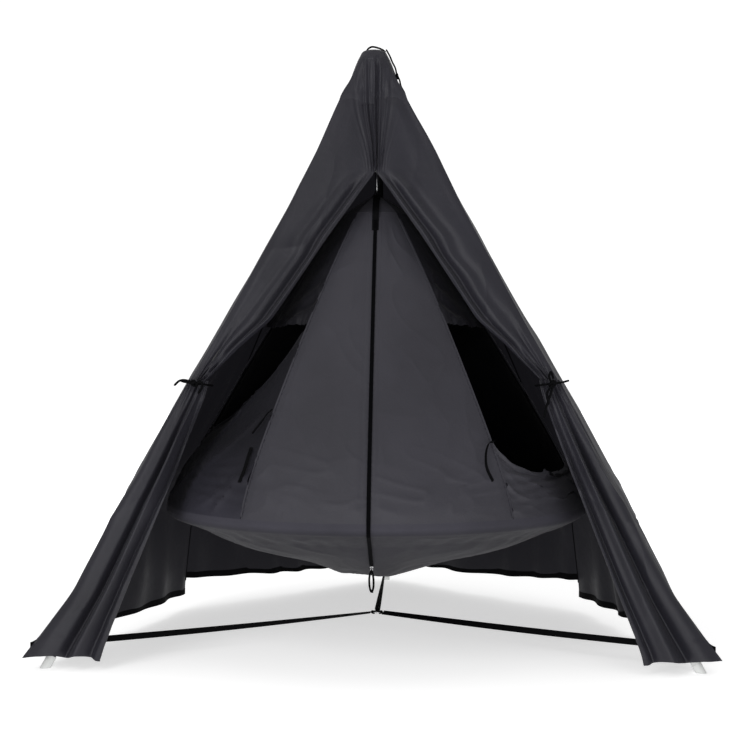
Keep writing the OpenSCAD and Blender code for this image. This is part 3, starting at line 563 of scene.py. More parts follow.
def front_points(side, seed):
    """The left upper front panel, from the corner at the leg (U = 0) to the door's edge (U = 1)."""
    U, V = unit_grid(130, 190, crowd=1.7)
    Z = WALL_TOP + (TIE_Z - 0.004 - WALL_TOP) * V
    corner = polar(corner_radius(Z), LEG_AZIMUTH["left"], Z) - AXIS
    edge = -profile(Z, DOOR_HEIGHTS, DOOR_EDGE, blur=0.02)
    X = corner[..., 0] + (edge - corner[..., 0]) * U
    wrap = np.exp(-(X - corner[..., 0]) / 0.020)
    Y = front_y(Z) + (corner[..., 1] - front_y(Z)) * wrap
    points = np.stack([X, Y, Z], -1) + AXIS
    from_edge = edge - X
    open_part = smooth_step(DOOR_TOP - Z, -0.02, 0.10)
    gathered = smooth_step(Z, TIE_Z, TIE_Z + 0.30)
    wander = 0.006 * noise(3.1, V * 14, seed)
    squeeze = 0.30 + 0.70 * gathered
    roll = 0.018 * bump(from_edge, 0.014 + 0.3 * wander, 0.013)
    valley = -0.019 * bump(from_edge, (0.046 + wander) * squeeze, 0.015 * squeeze + 0.002)
    ridge = 0.010 * bump(from_edge, (0.085 + 2 * wander) * squeeze, 0.020 * squeeze)
    second_valley = -0.006 * bump(from_edge, (0.130 + 2 * wander) * squeeze, 0.022 * squeeze)
    door_folds = open_part * (roll + valley + ridge + second_valley)
    mirrored_x = X if side < 0 else -X
    gathers = front_gathers(mirrored_x, Z)
    seam = 0.003 * smooth_step(Z, DOOR_TOP - 0.04, DOOR_TOP + 0.10) * bump(X, 0, 0.005)
    to_tie = np.hypot(X - edge.min(), Z - TIE_Z)
    angle = np.degrees(np.arctan2(X - edge.min() + 0.05, Z - TIE_Z + 0.02))
    fan = 0.0045 * np.sin(2 * math.pi * (angle / 8.5 + 0.3 * noise(to_tie * 6, 0.5, seed + 2)))
    fan = fan * bump(to_tie, 0.10, 0.24) * smooth_step(from_edge, 0.0, 0.02)
    broad = 0.011 * noise(U * 2.4, V * 3.2, seed + 3)
    pull = 0.006 * creases(U * 2.2 - V * 2.0, V * 4.5, seed + 4) * smooth_step(V, 0.1, 0.4)
    hold = smooth_step(X - corner[..., 0], 0.004, 0.05)
    fade = smooth_step(V, 0.0, 0.05)
    lift = (fan + broad + pull) * hold * fade + gathers + door_folds * hold + seam
    points = push(points, lift)
    return shift_top(for_side(points, side))


def build_front():
    """The two front panels above the doorway, with their transforms baked."""
    for side_name, side in SIDES.items():
        panel = cloth(f"front_{side_name}", front_points(side, 40 + side), COVER, lining=LINING)
        fit(panel, f"cover_front_{side_name}")
        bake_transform(panel)


# The cap's half width as seen from in front, by height
CAP_HEIGHTS = [2.40, 2.497, 2.539, 2.600, 2.653, 2.695, 2.712]
CAP_HALF_WIDTHS = [0.180, 0.143, 0.124, 0.103, 0.084, 0.062, 0.054]

# The flap's inner edge by height, and its folds: place across, width and height
FLAP_HEIGHTS = [0.05, 0.45, 0.82, 1.15]
FLAP_EDGE = [1.106, 0.963, 0.827, 0.716]
FLAP_FOLDS = {
    "left": [(0.22, 0.20, 0.020), (0.52, 0.07, -0.036), (0.68, 0.08, 0.032), (0.86, 0.05, -0.022)],
    "right": [(0.18, 0.15, 0.018), (0.44, 0.07, -0.034), (0.63, 0.09, 0.032), (0.84, 0.05, -0.026)],
}


def flap_points(side_name, seed):
    """The door flap gathered down the front of a leg, from its outer edge to its inner edge."""
    side = SIDES[side_name]
    U, V = unit_grid(110, 150)
    top = TIE_Z + 0.012
    bottom = 0.052 + 0.006 * noise(U * 5, 0, seed) - 0.010 * smooth_step(U, 0.85, 0.95)
    Z = top + (bottom - top) * V
    corner = polar(corner_radius(Z), LEG_AZIMUTH["left"], Z) - AXIS
    edge = -profile(Z, FLAP_HEIGHTS, FLAP_EDGE, blur=0.05)
    X = corner[..., 0] + (edge - corner[..., 0]) * U
    leg_y = -0.5 * leg_radius(Z)
    width = edge - corner[..., 0]
    stand = 0.046 + 0.016 * smooth_step(V, 0.1, 0.6)
    Y = leg_y - stand
    wrap = np.exp(-(X - corner[..., 0]) / (0.020 + 0.05 * width))
    Y = Y + (corner[..., 1] - Y) * wrap
    points = np.stack([X, Y, Z], -1) + AXIS
    open_out = 0.35 + 0.65 * smooth_step(V, 0.02, 0.35)
    folds = 0
    for k, (at, wide, high) in enumerate(FLAP_FOLDS[side_name]):
        wander = 0.035 * noise(k * 7.3, V * 3, seed + k)
        folds = folds + high * bump(U, at + wander, wide)
    gather = 0.005 * np.sin(2 * math.pi * 7 * U) * bump(V, 0.0, 0.10)
    pull = 0.007 * creases(U * 2 + V * 1.5, V * 6, seed + 9)
    soft = 0.006 * noise(U * 3, V * 6, seed + 10)
    band = 0.0024 * smooth_step(V, 0.930, 0.934)
    stitches = -0.0016 * bump(V, 0.930, 0.003)
    hold = smooth_step(U, 0.0, 0.06)
    points = push(points, (folds * open_out + gather + pull + soft) * hold + band + stitches)
    return for_side(points, side)


def build_flaps():
    """The two door flaps below the ties."""
    for side_name, side in SIDES.items():
        flap = cloth(f"flap_{side_name}", flap_points(side_name, 60 + 11 * (side + 1)), COVER)
        fit(flap, f"door_flap_{side_name}", f"leg_{side_name}")


# Places on a door tie, from its middle on the leg: outwards from the door, back and up
TIE_BELT = [
    (0.075, -0.030, 0.012),
    (0.045, -0.075, 0.006),
    (0, -0.086, 0),
    (-0.045, -0.062, -0.006),
    (-0.065, -0.020, -0.010),
]
TIE_KNOT = [
    (0.012, -0.088, 0.008),
    (0.002, -0.102, 0.010),
    (-0.012, -0.096, -0.004),
    (0.0, -0.090, -0.010),
    (0.012, -0.100, 0.0),
    (-0.004, -0.104, 0.006),
]
TIE_TAILS = {
    "left": [
        [(0.006, -0.098, 0.002), (0.036, -0.104, 0.014), (0.064, -0.098, 0.012), (0.086, -0.094, -0.006)],
        [(-0.008, -0.098, -0.004), (-0.026, -0.104, 0.01), (-0.034, -0.102, -0.012), (-0.018, -0.1, -0.04)],
    ],
    "right": [
        [(-0.004, -0.098, 0.004), (-0.014, -0.106, 0.030), (-0.006, -0.104, 0.050), (0.004, -0.098, 0.024)],
        [(0.004, -0.1, -0.004), (-0.01, -0.104, -0.05), (-0.026, -0.102, -0.1), (-0.034, -0.1, -0.14)],
        [(0.0, -0.1, -0.004), (-0.022, -0.106, -0.04), (-0.016, -0.102, -0.085)],
    ],
}


def build_door_ties():
    """Knotted cords round the gathered flaps, each with its tails."""
    middle_x = 0.765
    middle_y = AXIS_Y - 0.5 * leg_radius(TIE_Z)
    for side_name, side in SIDES.items():

        def tied(name, places, radius):
            points = [(side * (middle_x + dx), middle_y + dy, TIE_Z + dz) for dx, dy, dz in places]
            return rope(name, points, radius, CORD)

        cords = [tied("belt", TIE_BELT, 0.0046), tied("knot", TIE_KNOT, 0.0060)]
        cords += [tied(f"tail{k}", tail, 0.0050) for k, tail in enumerate(TIE_TAILS[side_name])]
        tie = join(f"tie_{side_name}", cords)
        fit(tie, f"door_tie_{side_name}", f"leg_{side_name}")


def cover_plan(azimuth, z):
    """Radius of the cover near the cap: straight across the front, with corners at the legs."""
    straight = -front_y(z) / np.maximum(-np.sin(np.radians(azimuth)), 0.3)
    from_leg = np.mod(azimuth - LEG_AZIMUTH["back"], 120)
    from_seam = np.radians(np.abs(from_leg - 60))
    seam_r, corner_r = seam_radius(z), corner_radius(z)
    sixty = math.radians(60)
    wall = seam_r * corner_r * math.sin(sixty)
    wall = wall / (seam_r * np.sin(from_seam) + corner_r * np.sin(sixty - from_seam))
    in_front = (azimuth > LEG_AZIMUTH["left"]) & (azimuth < LEG_AZIMUTH["right"])
    return np.where(in_front, np.minimum(straight, corner_r), wall)


def front_gathers(x, z):
    """Folds that run down from the cap to the top of the door, on both sides of the front seam."""
    spread = 0.36 + 0.64 * smooth_step(z, DOOR_TOP, DOOR_TOP + 0.38)
    wander = 0.003 * noise(1.5, z * 9, 7)
    broad = np.cos(2 * math.pi * (x + wander) / (0.034 * spread))
    fine = 0.4 * np.cos(2 * math.pi * x / (0.021 * spread) + 1)
    reach = bump(x, 0.004, 0.050 * spread + 0.012)
    above_door = smooth_step(z, DOOR_TOP - 0.04, DOOR_TOP + 0.06)
    below_cap = smooth_step(CAP_TOP - z, 0.03, 0.10)
    return 0.0072 * (broad - fine) * reach * above_door * below_cap


def cap_points():
    """The cap over the hub, from its domed top to its hem, all the way round. It laps over the walls."""
    around = 300
    azimuth = np.linspace(90, 450, around + 1)[None, :]
    dome_rows = 14
    dome = np.linspace(0, 1, dome_rows)[:, None]
    top_r = 0.052
    dome_high = 0.008
    dome_r = 0.001 + top_r * np.sin(dome * math.pi / 2)
    dome_z = CAP_TOP - dome_high + dome_high * np.cos(dome * math.pi / 2)
    lap = 0.05
    side_z = np.linspace(CAP_TOP - dome_high, WALL_TOP - lap, 110)[1:, None]
    cone = profile(side_z, CAP_HEIGHTS, CAP_HALF_WIDTHS, blur=0.006)
    corners = smooth_step(-side_z, -2.69, -WALL_TOP)
    over = 0.004 - 0.0065 * smooth_step(WALL_TOP - side_z, 0.0, lap)
    side_r = cone * (1 - corners) + (cover_plan(azimuth, side_z) + over) * corners
    dome_shape = (dome_rows, around + 1)
    radius = np.concatenate([np.broadcast_to(dome_r, dome_shape), side_r])
    z = np.concatenate([np.broadcast_to(dome_z, dome_shape), np.broadcast_to(side_z, side_r.shape)])
    down = (CAP_TOP - z) / (CAP_TOP - WALL_TOP)
    folds = 0.0020 * np.cos(np.radians(azimuth) * 21 + 2 * noise(azimuth / 20, down * 2, 5))
    folds = folds * smooth_step(down, 0.25, 0.6) * (1 - smooth_step(down, 0.85, 1.0))
    front = smooth_step(-np.sin(np.radians(azimuth)), 0.2, 0.7)
    gathers = front * front_gathers(radius * np.cos(np.radians(azimuth)), z)
    band = 0.0014 * (smooth_step(down, 0.055, 0.065) - smooth_step(down, 0.235, 0.245))
    stitches = -0.0008 * (bump(down, 0.09, 0.006) + bump(down, 0.215, 0.006))
    return shift_top(polar(radius + folds + gathers + band + stitches, azimuth, z))


def build_cap():
    """The cap, the webbing loop on top of it and the draw cord down its side."""
    cap = cloth("cap", cap_points(), COVER, 0.0018)
    fit(cap, "cover_cap", "head")
    y = AXIS_Y - 0.004
    arch = [(-0.050, -0.004), (-0.040, 0.01), (-0.022, 0.018), (0.004, 0.013), (0.026, 0.004), (0.04, -0.006)]
    path = [(x, y, CAP_TOP + z) for x, z in arch]
    loop = ribbon("cap_loop_webbing", path, [(0, 1, 0)] * len(path), 0.018, 0.0050, WEBBING)
    fit(loop, "cap_loop", "head")
    reach = []
    for k, z in enumerate(np.linspace(CAP_TOP - 0.004, WALL_TOP - 0.010, 9)):
        x = profile(z, CAP_HEIGHTS, CAP_HALF_WIDTHS, blur=0.006) - 0.009 + 0.003 * (k % 2)
        reach.append(np.array([x, AXIS_Y - 0.030, z]))
    cord = rope("draw_cord", reach, 0.0042, CORD)
    stopper = rope("cord_knot", [reach[4], reach[4] + [0.004, 0, -0.018]], 0.0066, CORD)
    fit(join("draw_cord", [cord, stopper]), "cap_cord", "head")


def build_base_straps():
    """Webbing from the ring to each foot. It stands on edge at the foot and turns flatter at the ring."""
    centre = np.array([0, AXIS_Y, STRAP_Z])
    inner_end = 0.0325
    outer_end = leg_radius(STRAP_Z) - 0.0300
    eye_middle = 0.020
    eye_r = 0.0068
    for leg, azimuth in LEG_AZIMUTH.items():
        a = math.radians(azimuth)
        out = np.array([math.cos(a), math.sin(a), 0])
        across = np.array([-math.sin(a), math.cos(a), 0])
        path, wide = [], []
        for s in (0.0, 0.06, 0.2, 0.4, 0.6, 0.8, 1.0):
            sag = -0.006 * math.sin(math.pi * s)
            path.append(centre + out * (inner_end + (outer_end - inner_end) * s) + UP * sag)
            tilt = math.radians(62) * (1 - s) ** 1.4
            wide.append(UP * math.cos(tilt) + across * math.sin(tilt))
        strap = ribbon("strap", path, wide, 0.027, 0.0026, WEBBING)
        turns = np.linspace(0, 2 * math.pi, 9)
        eye = [centre + out * (eye_middle + eye_r * math.cos(t)) + UP * eye_r * math.sin(t) for t in turns]
        loop = ribbon("loop", eye, [across] * len(eye), 0.016, 0.0024, WEBBING, per_span=4)
        strap = join(f"foot_strap_{leg}", [strap, loop])
        fit(strap, f"base_strap_{leg}")
        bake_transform(strap)


# ---- Pod ----

CROWN_R = 0.150
POD_BULGE = 0.05
FOOT_BULGE = 0.30
PANEL_LIFT = 0.002

# The pod's seams, in degrees from the front, and the top of its side openings
SEAM = {"left": -33, "right": 37}
OPENING_BACK = 100
POD_SEAMS = (SEAM["left"], SEAM["right"], -OPENING_BACK, OPENING_BACK)
OPENING_TOP = 1.43


def pod_radius(z):
    """Radius of the pod's side, from its crown to its hoop."""
    top = POD_TOP + PANEL_LIFT
    t = np.clip((top - z) / (top - POD_FOOT), 0, 1.02)
    bulge = POD_BULGE * 4 * t * (1 - t) + FOOT_BULGE * t**6 * (1 - t)
    return CROWN_R + (HOOP_OUTER_R - CROWN_R) * t + bulge + PANEL_LIFT


def pod_points(start, end, top, bottom, across, down, seed):
    """A panel of the pod, with each point's degrees from the front and height.

    start and end are degrees from the front; top and bottom are functions of the degrees.
    """
    U, V = unit_grid(across, down)
    A = start + (end - start) * U
    Z = top(A) + (bottom(A) - top(A)) * V
    radius = pod_radius(Z)
    low = smooth_step(-Z, -1.00, -0.72)
    flat_creases = 0.0055 * low * creases(A / 9, Z * 17 + A / 30, seed)
    diagonal = 0.0035 * creases(A / 14 + Z * 3, Z * 5 - A / 40, seed + 1)
    broad = 0.006 * noise(A / 16, Z * 3.2, seed + 2)
    rim = smooth_step(Z, POD_FOOT - 0.01, POD_FOOT + 0.07)
    top_fade = smooth_step(POD_TOP - Z, 0.0, 0.12)
    degree = np.radians(1.0) * radius
    meet = smooth_step((A - start) * degree, 0.0, 0.05) * smooth_step((end - A) * degree, 0.0, 0.05)
    edges = bump(A, start, 1.2) + bump(A, end, 1.2)
    pucker = 0.0016 * np.sin(Z * 260 + 2 * noise(Z * 30, 0, seed)) * edges
    lift = ((flat_creases + diagonal + broad) * meet + pucker) * rim * top_fade
    return push(polar(radius, FRONT + A, Z), lift), A, Z


def level(z):
    """The same height at every angle."""
    return lambda angle: z + 0 * angle


def build_pod_front():
    """The two halves of the front panel, each with a placket along the zip."""
    for side_name, side in SIDES.items():
        edges = (SEAM["left"], -0.15) if side < 0 else (0.15, SEAM["right"])
        points, A, Z = pod_points(*edges, level(POD_TOP), level(POD_FOOT), 90, 170, 80 + side)
        from_zip = np.abs(np.radians(A) * pod_radius(Z))
        placket = 0.0016 * (1 - smooth_step(from_zip, 0.026, 0.029)) - 0.0010 * bump(from_zip, 0.024, 0.0016)
        hollow = -0.0018 * bump(from_zip, 0.0, 0.02) * smooth_step(POD_TOP - Z, 0, 0.2)
        points = push(points, placket + hollow)
        panel = cloth(f"pod_panel_{side_name}", points, POD, lining=POD_INSIDE)
        fit(panel, "pod_front", "pod")


def sill_top(side_name):
    """Top edge of the cloth below a side opening. The left curtain is only half rolled up."""
    if side_name == "left":
        return lambda angle: 0.92 + 0.50 * np.exp(-np.maximum(np.abs(angle) - 38, 0) / 26.0)
    return lambda angle: 0.80 + 0.14 * np.exp(-(np.abs(angle) - 37) / 6.0)


def side_upper_points(side_name, angles):
    """The panel above a side opening, gathered into a band at its lower edge."""
    side = SIDES[side_name]
    points, A, Z = pod_points(*angles, level(POD_TOP), level(OPENING_TOP), 80, 70, 90 + side)
    across = across_side(side_name, A)
    droop = smooth_step(POD_TOP - Z, 0.1, 0.5)
    diagonals = 0.010 * droop * creases(across * 3 + Z * 4, across * 5 - Z * 7, 95 + side)
    slanted = 0.007 * droop * np.cos(2 * math.pi * (10 * Z + 2.5 * across)) * bump(across, 0.12, 0.2)
    gathered = 0.0045 * np.sin(across * 95 + 3 * noise(across * 9, 0, 3)) * bump(Z, OPENING_TOP, 0.035)
    band = 0.004 * (1 - smooth_step(Z, OPENING_TOP + 0.028, OPENING_TOP + 0.032))
    slack = -0.022 * droop * np.sin(math.pi * np.clip(across, 0, 1)) ** 0.6
    return push(points, diagonals + slanted + gathered + band + slack)


def side_lower_points(side_name, angles):
    """The cloth below a side opening, with its curtain rolled up along the sill."""
    side = SIDES[side_name]
    sill = sill_top(side_name)
    points, A, Z = pod_points(*angles, sill, level(POD_FOOT), 90, 70, 97 + side)
    across = across_side(side_name, A)
    below = sill(A) - Z
    slack, reach = (0.085, 0.20) if side < 0 else (0.05, 0.10)
    inward = -slack * np.exp(-below / reach) * np.sin(math.pi * np.clip(across, 0, 1)) ** 0.6
    rolled = 0.008 * bump(below, 0.010, 0.009) - 0.007 * bump(below, 0.032, 0.012)
    creased = creases(across * 2.5 - below * 5, below * 9 + across * 2, 99 + side)
    sagging = 0.012 * creased * smooth_step(below, 0, 0.05)
    wave = np.cos(2 * math.pi * (Z / 0.042 + 1.2 * noise(across * 4, Z * 6, 101 + side)))
    drawn = 0.0045 * wave * bump(Z, 0.76, 0.09) * bump(across, 0.12, 0.25)
    rim = smooth_step(Z, POD_FOOT, POD_FOOT + 0.05)
    return push(points, (inward + rolled + sagging + drawn) * rim)


def across_side(side_name, angle):
    """How far back a point of a side panel is: 0 at the front seam and 1 at the back one."""
    seam = abs(SEAM[side_name])
    return (np.abs(angle) - seam) / (OPENING_BACK - seam)


def build_pod_sides():
    """The panels above and below each side opening."""
    for side_name, side in SIDES.items():
        seam = abs(SEAM[side_name]) + 0.15
        back = OPENING_BACK - 0.2
        angles = (-back, -seam) if side < 0 else (seam, back)
        upper = side_upper_points(side_name, angles)
        # The upper side panel takes the pod cloth's painted shade.
        upper = cloth(f"pod_side_upper_{side_name}", upper, POD_PAINTED_SHADE, lining=POD_INSIDE)
        lower = side_lower_points(side_name, angles)
        # The left lower panel takes the curtain's painted shade; the right one is plain pod cloth.
        shade = CURTAIN_PAINTED_SHADE if side < 0 else POD
        lower = cloth(f"pod_side_lower_{side_name}", lower, shade, lining=POD_INSIDE)
        fit(upper, "pod_sides", "pod")
        fit(lower, "pod_sides", "pod")


def build_pod_back():
    """The closed back: four gores, with a sewn ridge between each two."""
    angles = (OPENING_BACK + 0.2, 360 - OPENING_BACK - 0.2)
    points, A, Z = pod_points(*angles, level(POD_TOP), level(POD_FOOT), 200, 130, 110)
    gore = (angles[1] - angles[0]) / 4
    from_seam = np.abs(np.mod(A - angles[0] + gore / 2, gore) - gore / 2)
    from_seam = np.radians(from_seam) * pod_radius(Z)
    ridge = 0.004 * bump(from_seam, 0, 0.004) - 0.010 * bump(from_seam, 0, 0.04)
    points = push(points, ridge * smooth_step(Z, POD_FOOT, POD_FOOT + 0.1))
    back = cloth("pod_back_gores", points, POD, lining=POD_INSIDE)
    fit(back, "pod_back", "pod")


def sphere_height(radius):
    """Height of the bowl's sphere, which runs through the hoop and the bowl's lowest point."""
    depth = HOOP_Z - BOWL_BOTTOM
    sphere_r = (HOOP_R**2 + depth**2) / (2 * depth)
    return BOWL_BOTTOM + sphere_r - np.sqrt(sphere_r**2 - radius**2)


def bowl_rise(radius):
    """How far the bowl's cloth is drawn up above its sphere, most of it half way out."""
    return 0.050 * bump(radius, 0.42, 0.30)


def bowl_height(radius):
    """Height of the bowl's cloth away from the zip."""
    return sphere_height(radius) + bowl_rise(radius)


def bowl_section():
    """The bowl's outline at the zip: radii and heights from the panels' foot to the middle.

    The cloth turns round the outside of the hoop, hangs a little below the sphere there, and
    joins it at sphere_from.
    """
    turn_r = 0.036
    sphere_from = 0.82
    turn = np.radians(np.linspace(12, -70, 14))
    arc_r = HOOP_OUTER_R + 0.0045 - turn_r * (1 - np.cos(turn))
    arc_z = HOOP_Z + turn_r * np.sin(turn)
    arc_r[0], arc_z[0] = pod_radius(POD_FOOT), POD_FOOT
    inner_r = np.linspace(arc_r[-1], 0.004, 91)[1:]
    below = 0.003
    drop = sphere_height(arc_r[-1]) - arc_z[-1] - below
    near_hoop = np.clip((inner_r - sphere_from) / (arc_r[-1] - sphere_from), 0, 1) ** 1.3
    inner_z = sphere_height(inner_r) - below - drop * near_hoop
    return np.concatenate([arc_r, inner_r]), np.concatenate([arc_z, inner_z])


def build_bowl():
    """The cloth over the hoop and under it, from the panels' lower edge to the middle."""
    azimuth = np.linspace(90, 450, 361)[None, :]
    section_r, section_z = bowl_section()
    radius = section_r[:, None] + 0 * azimuth
    x, y = radius * np.cos(np.radians(azimuth)), radius * np.sin(np.radians(azimuth))
    by_zip = bump(x, 0.0, 0.13) * smooth_step(-y, 0.32, 0.50)
    z = section_z[:, None] + bowl_rise(radius) * (1 - by_zip) * smooth_step(-radius, -0.95, -0.80)
    lumps = 0.030 * bump(x, 0.06, 0.07) + 0.024 * bump(x, -0.15, 0.06) - 0.006 * bump(x, -0.05, 0.04)
    points = polar(radius, azimuth, z - lumps * bump(y, -0.33, 0.16))
    under_hoop = smooth_step(-radius, -0.955, -0.88) * (1 - by_zip)
    creased = 0.004 * creases(x * 5 + 30, y * 9 + 30, 130)
    sag = 0.007 * noise(x * 2.6 + 20, y * 2.6 + 20, 131)
    wander = 3 * noise(x * 4 + 9, y * 4 + 9, 132)
    pleats = 0.003 * np.cos(np.radians(azimuth) * 46 + wander) * bump(radius, 0.86, 0.07)
    points = push(points, (creased + sag + pleats) * under_hoop)
    points[:, -1] = points[:, 0]
    # The bowl's material paints shade under the hoop.
    fit(cloth("bowl", points, BOWL), "pod_bowl", "pod")


def build_mattress():
    """A quilted round pad that lies in the bowl, swollen by a pressure simulation."""
    pad_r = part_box("mattress")[1].x - 0.012
    rings, around = 44, 120
    t = np.linspace(0, 1, rings)
    azimuth = np.linspace(0, 360, around, endpoint=False)
    floor = bowl_height(pad_r * t) + 0.0065
    top = floor + 0.022 * np.sqrt(np.clip(1 - t**6, 0, 1)) + 0.012
    rows = [polar(pad_r * t[k], azimuth, top[k]) for k in range(1, rings)]
    rows += [polar(pad_r * t[k], azimuth, floor[k]) for k in range(rings - 1, 0, -1)]
    poles = [polar(0.0, 0.0, top[0]), polar(0.0, 0.0, floor[0])]
    vertices = np.concatenate([np.array(rows).reshape(-1, 3), poles])
    count = len(rows)
    at = np.arange(count * around).reshape(count, around)
    after = np.roll(at, -1, axis=1)
    faces = grid_faces(at, after).tolist()
    peak, base = count * around, count * around + 1
    faces += [[peak, int(at[0, k]), int(after[0, k])] for k in range(around)]
    faces += [[base, int(after[-1, k]), int(at[-1, k])] for k in range(around)]
    pad = make_mesh("mattress_pad", vertices, faces, PAD)
    swell(pad, 0.012)
    quilt(pad, pad_r)
    fit(pad, "mattress", "pod")


def coordinates(piece):
    """The places of a piece's vertices."""
    co = np.zeros(len(piece.data.vertices) * 3, np.float32)
    piece.data.vertices.foreach_get("co", co)
    return co.reshape(-1, 3).astype(float)


def set_coordinates(piece, co):
    """Moves a piece's vertices."""
    piece.data.vertices.foreach_set("co", co.astype(np.float32).ravel())
    piece.data.update()


SWELL_FRAMES = 20


def swell(piece, most):
    """Blows a closed cloth form up with the Cloth modifier, and caps how far a point may move."""
    rest = coordinates(piece)
    modifier = piece.modifiers.new("Cloth", "CLOTH")
    modifier.settings.use_pressure = True
    modifier.settings.uniform_pressure_force = 4
    modifier.settings.effector_weights.gravity = 0
    modifier.point_cache.frame_start = 1
    modifier.point_cache.frame_end = SWELL_FRAMES
    scene = bpy.context.scene
    for step in range(1, SWELL_FRAMES + 1):
        scene.frame_set(step)
    shown = piece.evaluated_get(bpy.context.evaluated_depsgraph_get())
    blown = np.array([v.co for v in shown.data.vertices], float)
    piece.modifiers.remove(modifier)
    scene.frame_set(1)
    move = blown - rest
    size = np.linalg.norm(move, axis=1, keepdims=True)
    set_coordinates(piece, rest + move * np.minimum(1, most / np.maximum(size, 1e-9)))


def quilt(piece, pad_r):
    """Sews two rings and twelve spokes into the top of the pad, and keeps it above the bowl."""
    co = coordinates(piece)
    x, y = co[:, 0], co[:, 1] - AXIS_Y
    radius = np.hypot(x, y)
    azimuth = np.degrees(np.arctan2(y, x))
    spoke = np.abs(np.mod(azimuth + 15, 30) - 15) * math.pi / 180 * radius
    rings = bump(radius, pad_r * 0.36, 0.012) + bump(radius, pad_r * 0.7, 0.012)
    channel = np.clip(rings + bump(spoke, 0, 0.012) * smooth_step(radius, 0.1, 0.2), 0, 1)
    bowl = bowl_height(np.minimum(radius, HOOP_R))
    co[:, 2] -= channel * 0.011 * smooth_step(co[:, 2] - bowl, 0.015, 0.03)
    co[:, 2] = np.maximum(co[:, 2], bowl + 0.006)
    set_coordinates(piece, co)


def strip_down_pod(name, angle, half_width, lift, material, bottom, thickness):
    """A narrow strip that follows the pod's side at one angle from the front, from just below its crown."""
    z = np.linspace(POD_TOP - 0.03, bottom, 90)[:, None]
    offset = np.linspace(-half_width, half_width, 5)[None, :]
    radius = pod_radius(z) + lift
    a = FRONT + angle + np.degrees(offset / radius)
    return cloth(name, polar(radius + 0 * offset, a, z + 0 * offset), material, thickness)


def zip_end_radius():
    """How far in front of the axis the zip ends under the bowl."""
    return AXIS_Y - middle_of("zip_slider").y


def resampled(path, count):
    """A path's places at evenly spaced fractions of its points."""
    at = np.linspace(0, 1, count)
    known = np.linspace(0, 1, len(path))
    return np.stack([np.interp(at, known, path[:, axis]) for axis in range(3)], -1)


def build_zip():
    """The zip's tape and coil, down the front, over the hoop and on under the bowl."""
    proud = 0.0055
    front_z = np.linspace(POD_TOP - 0.035, POD_FOOT, 90)
    side = polar(pod_radius(front_z) + proud, FRONT, front_z)
    section_r, section_z = bowl_section()
    shown = section_r > zip_end_radius()
    section = polar(section_r[shown][1:], FRONT, section_z[shown][1:])
    along = unit(np.gradient(section, axis=0))
    path = np.concatenate([side, section + np.cross(along, ACROSS) * proud])
    tape = path[:, None] + ACROSS * np.linspace(-0.0080, 0.0080, 5)[None, :, None]
    tape = cloth("tape", tape, ZIP, 0.002)
    fine = resampled(path, len(path) * 3)
    teeth = np.arange(len(fine)) % 2 * 0.0005
    out = unit(np.cross(ACROSS, np.gradient(fine, axis=0)))
    coil = fine[:, None] + ACROSS * np.linspace(-0.0026, 0.0026, 4)[None, :, None]
    lift = (0.0012 + teeth)[:, None] * np.array([0.4, 1, 1, 0.4])[None, :]
    coil = cloth("coil", coil + out[:, None] * lift[..., None], ZIP, 0.0016)
    fit(join("zip", [tape, coil]), "zip_tape", "pod")


def build_zip_pull():
    """A metal link on the slider and a knotted loop of cord below it."""
    y = middle_of("zip_pull").y
    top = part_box("zip_pull")[1].z
    link_r = 0.0046
    turns = np.linspace(0, 2 * math.pi, 13)
    ring = [(link_r * math.sin(t), y, top - 0.007 + link_r * math.cos(t)) for t in turns]
    link = rope("link", ring, 0.0011, ZINC, per_span=3)
    left_ply = [(0, -0.011), (-0.007, -0.026), (-0.010, -0.050), (-0.008, -0.082), (-0.001, -0.100)]
    right_ply = [(0.007, -0.084), (0.008, -0.052), (0.005, -0.028), (0, -0.012)]
    cord = rope("pull_cord", [(x, y, top + z) for x, z in left_ply + right_ply], 0.0045, CORD)
    knot = rope("pull_knot", [(-0.003, y, top - 0.094), (0.003, y, top - 0.100)], 0.0048, CORD)
    fit(join("pull_tab", [link, cord, knot]), "zip_pull", "pull")


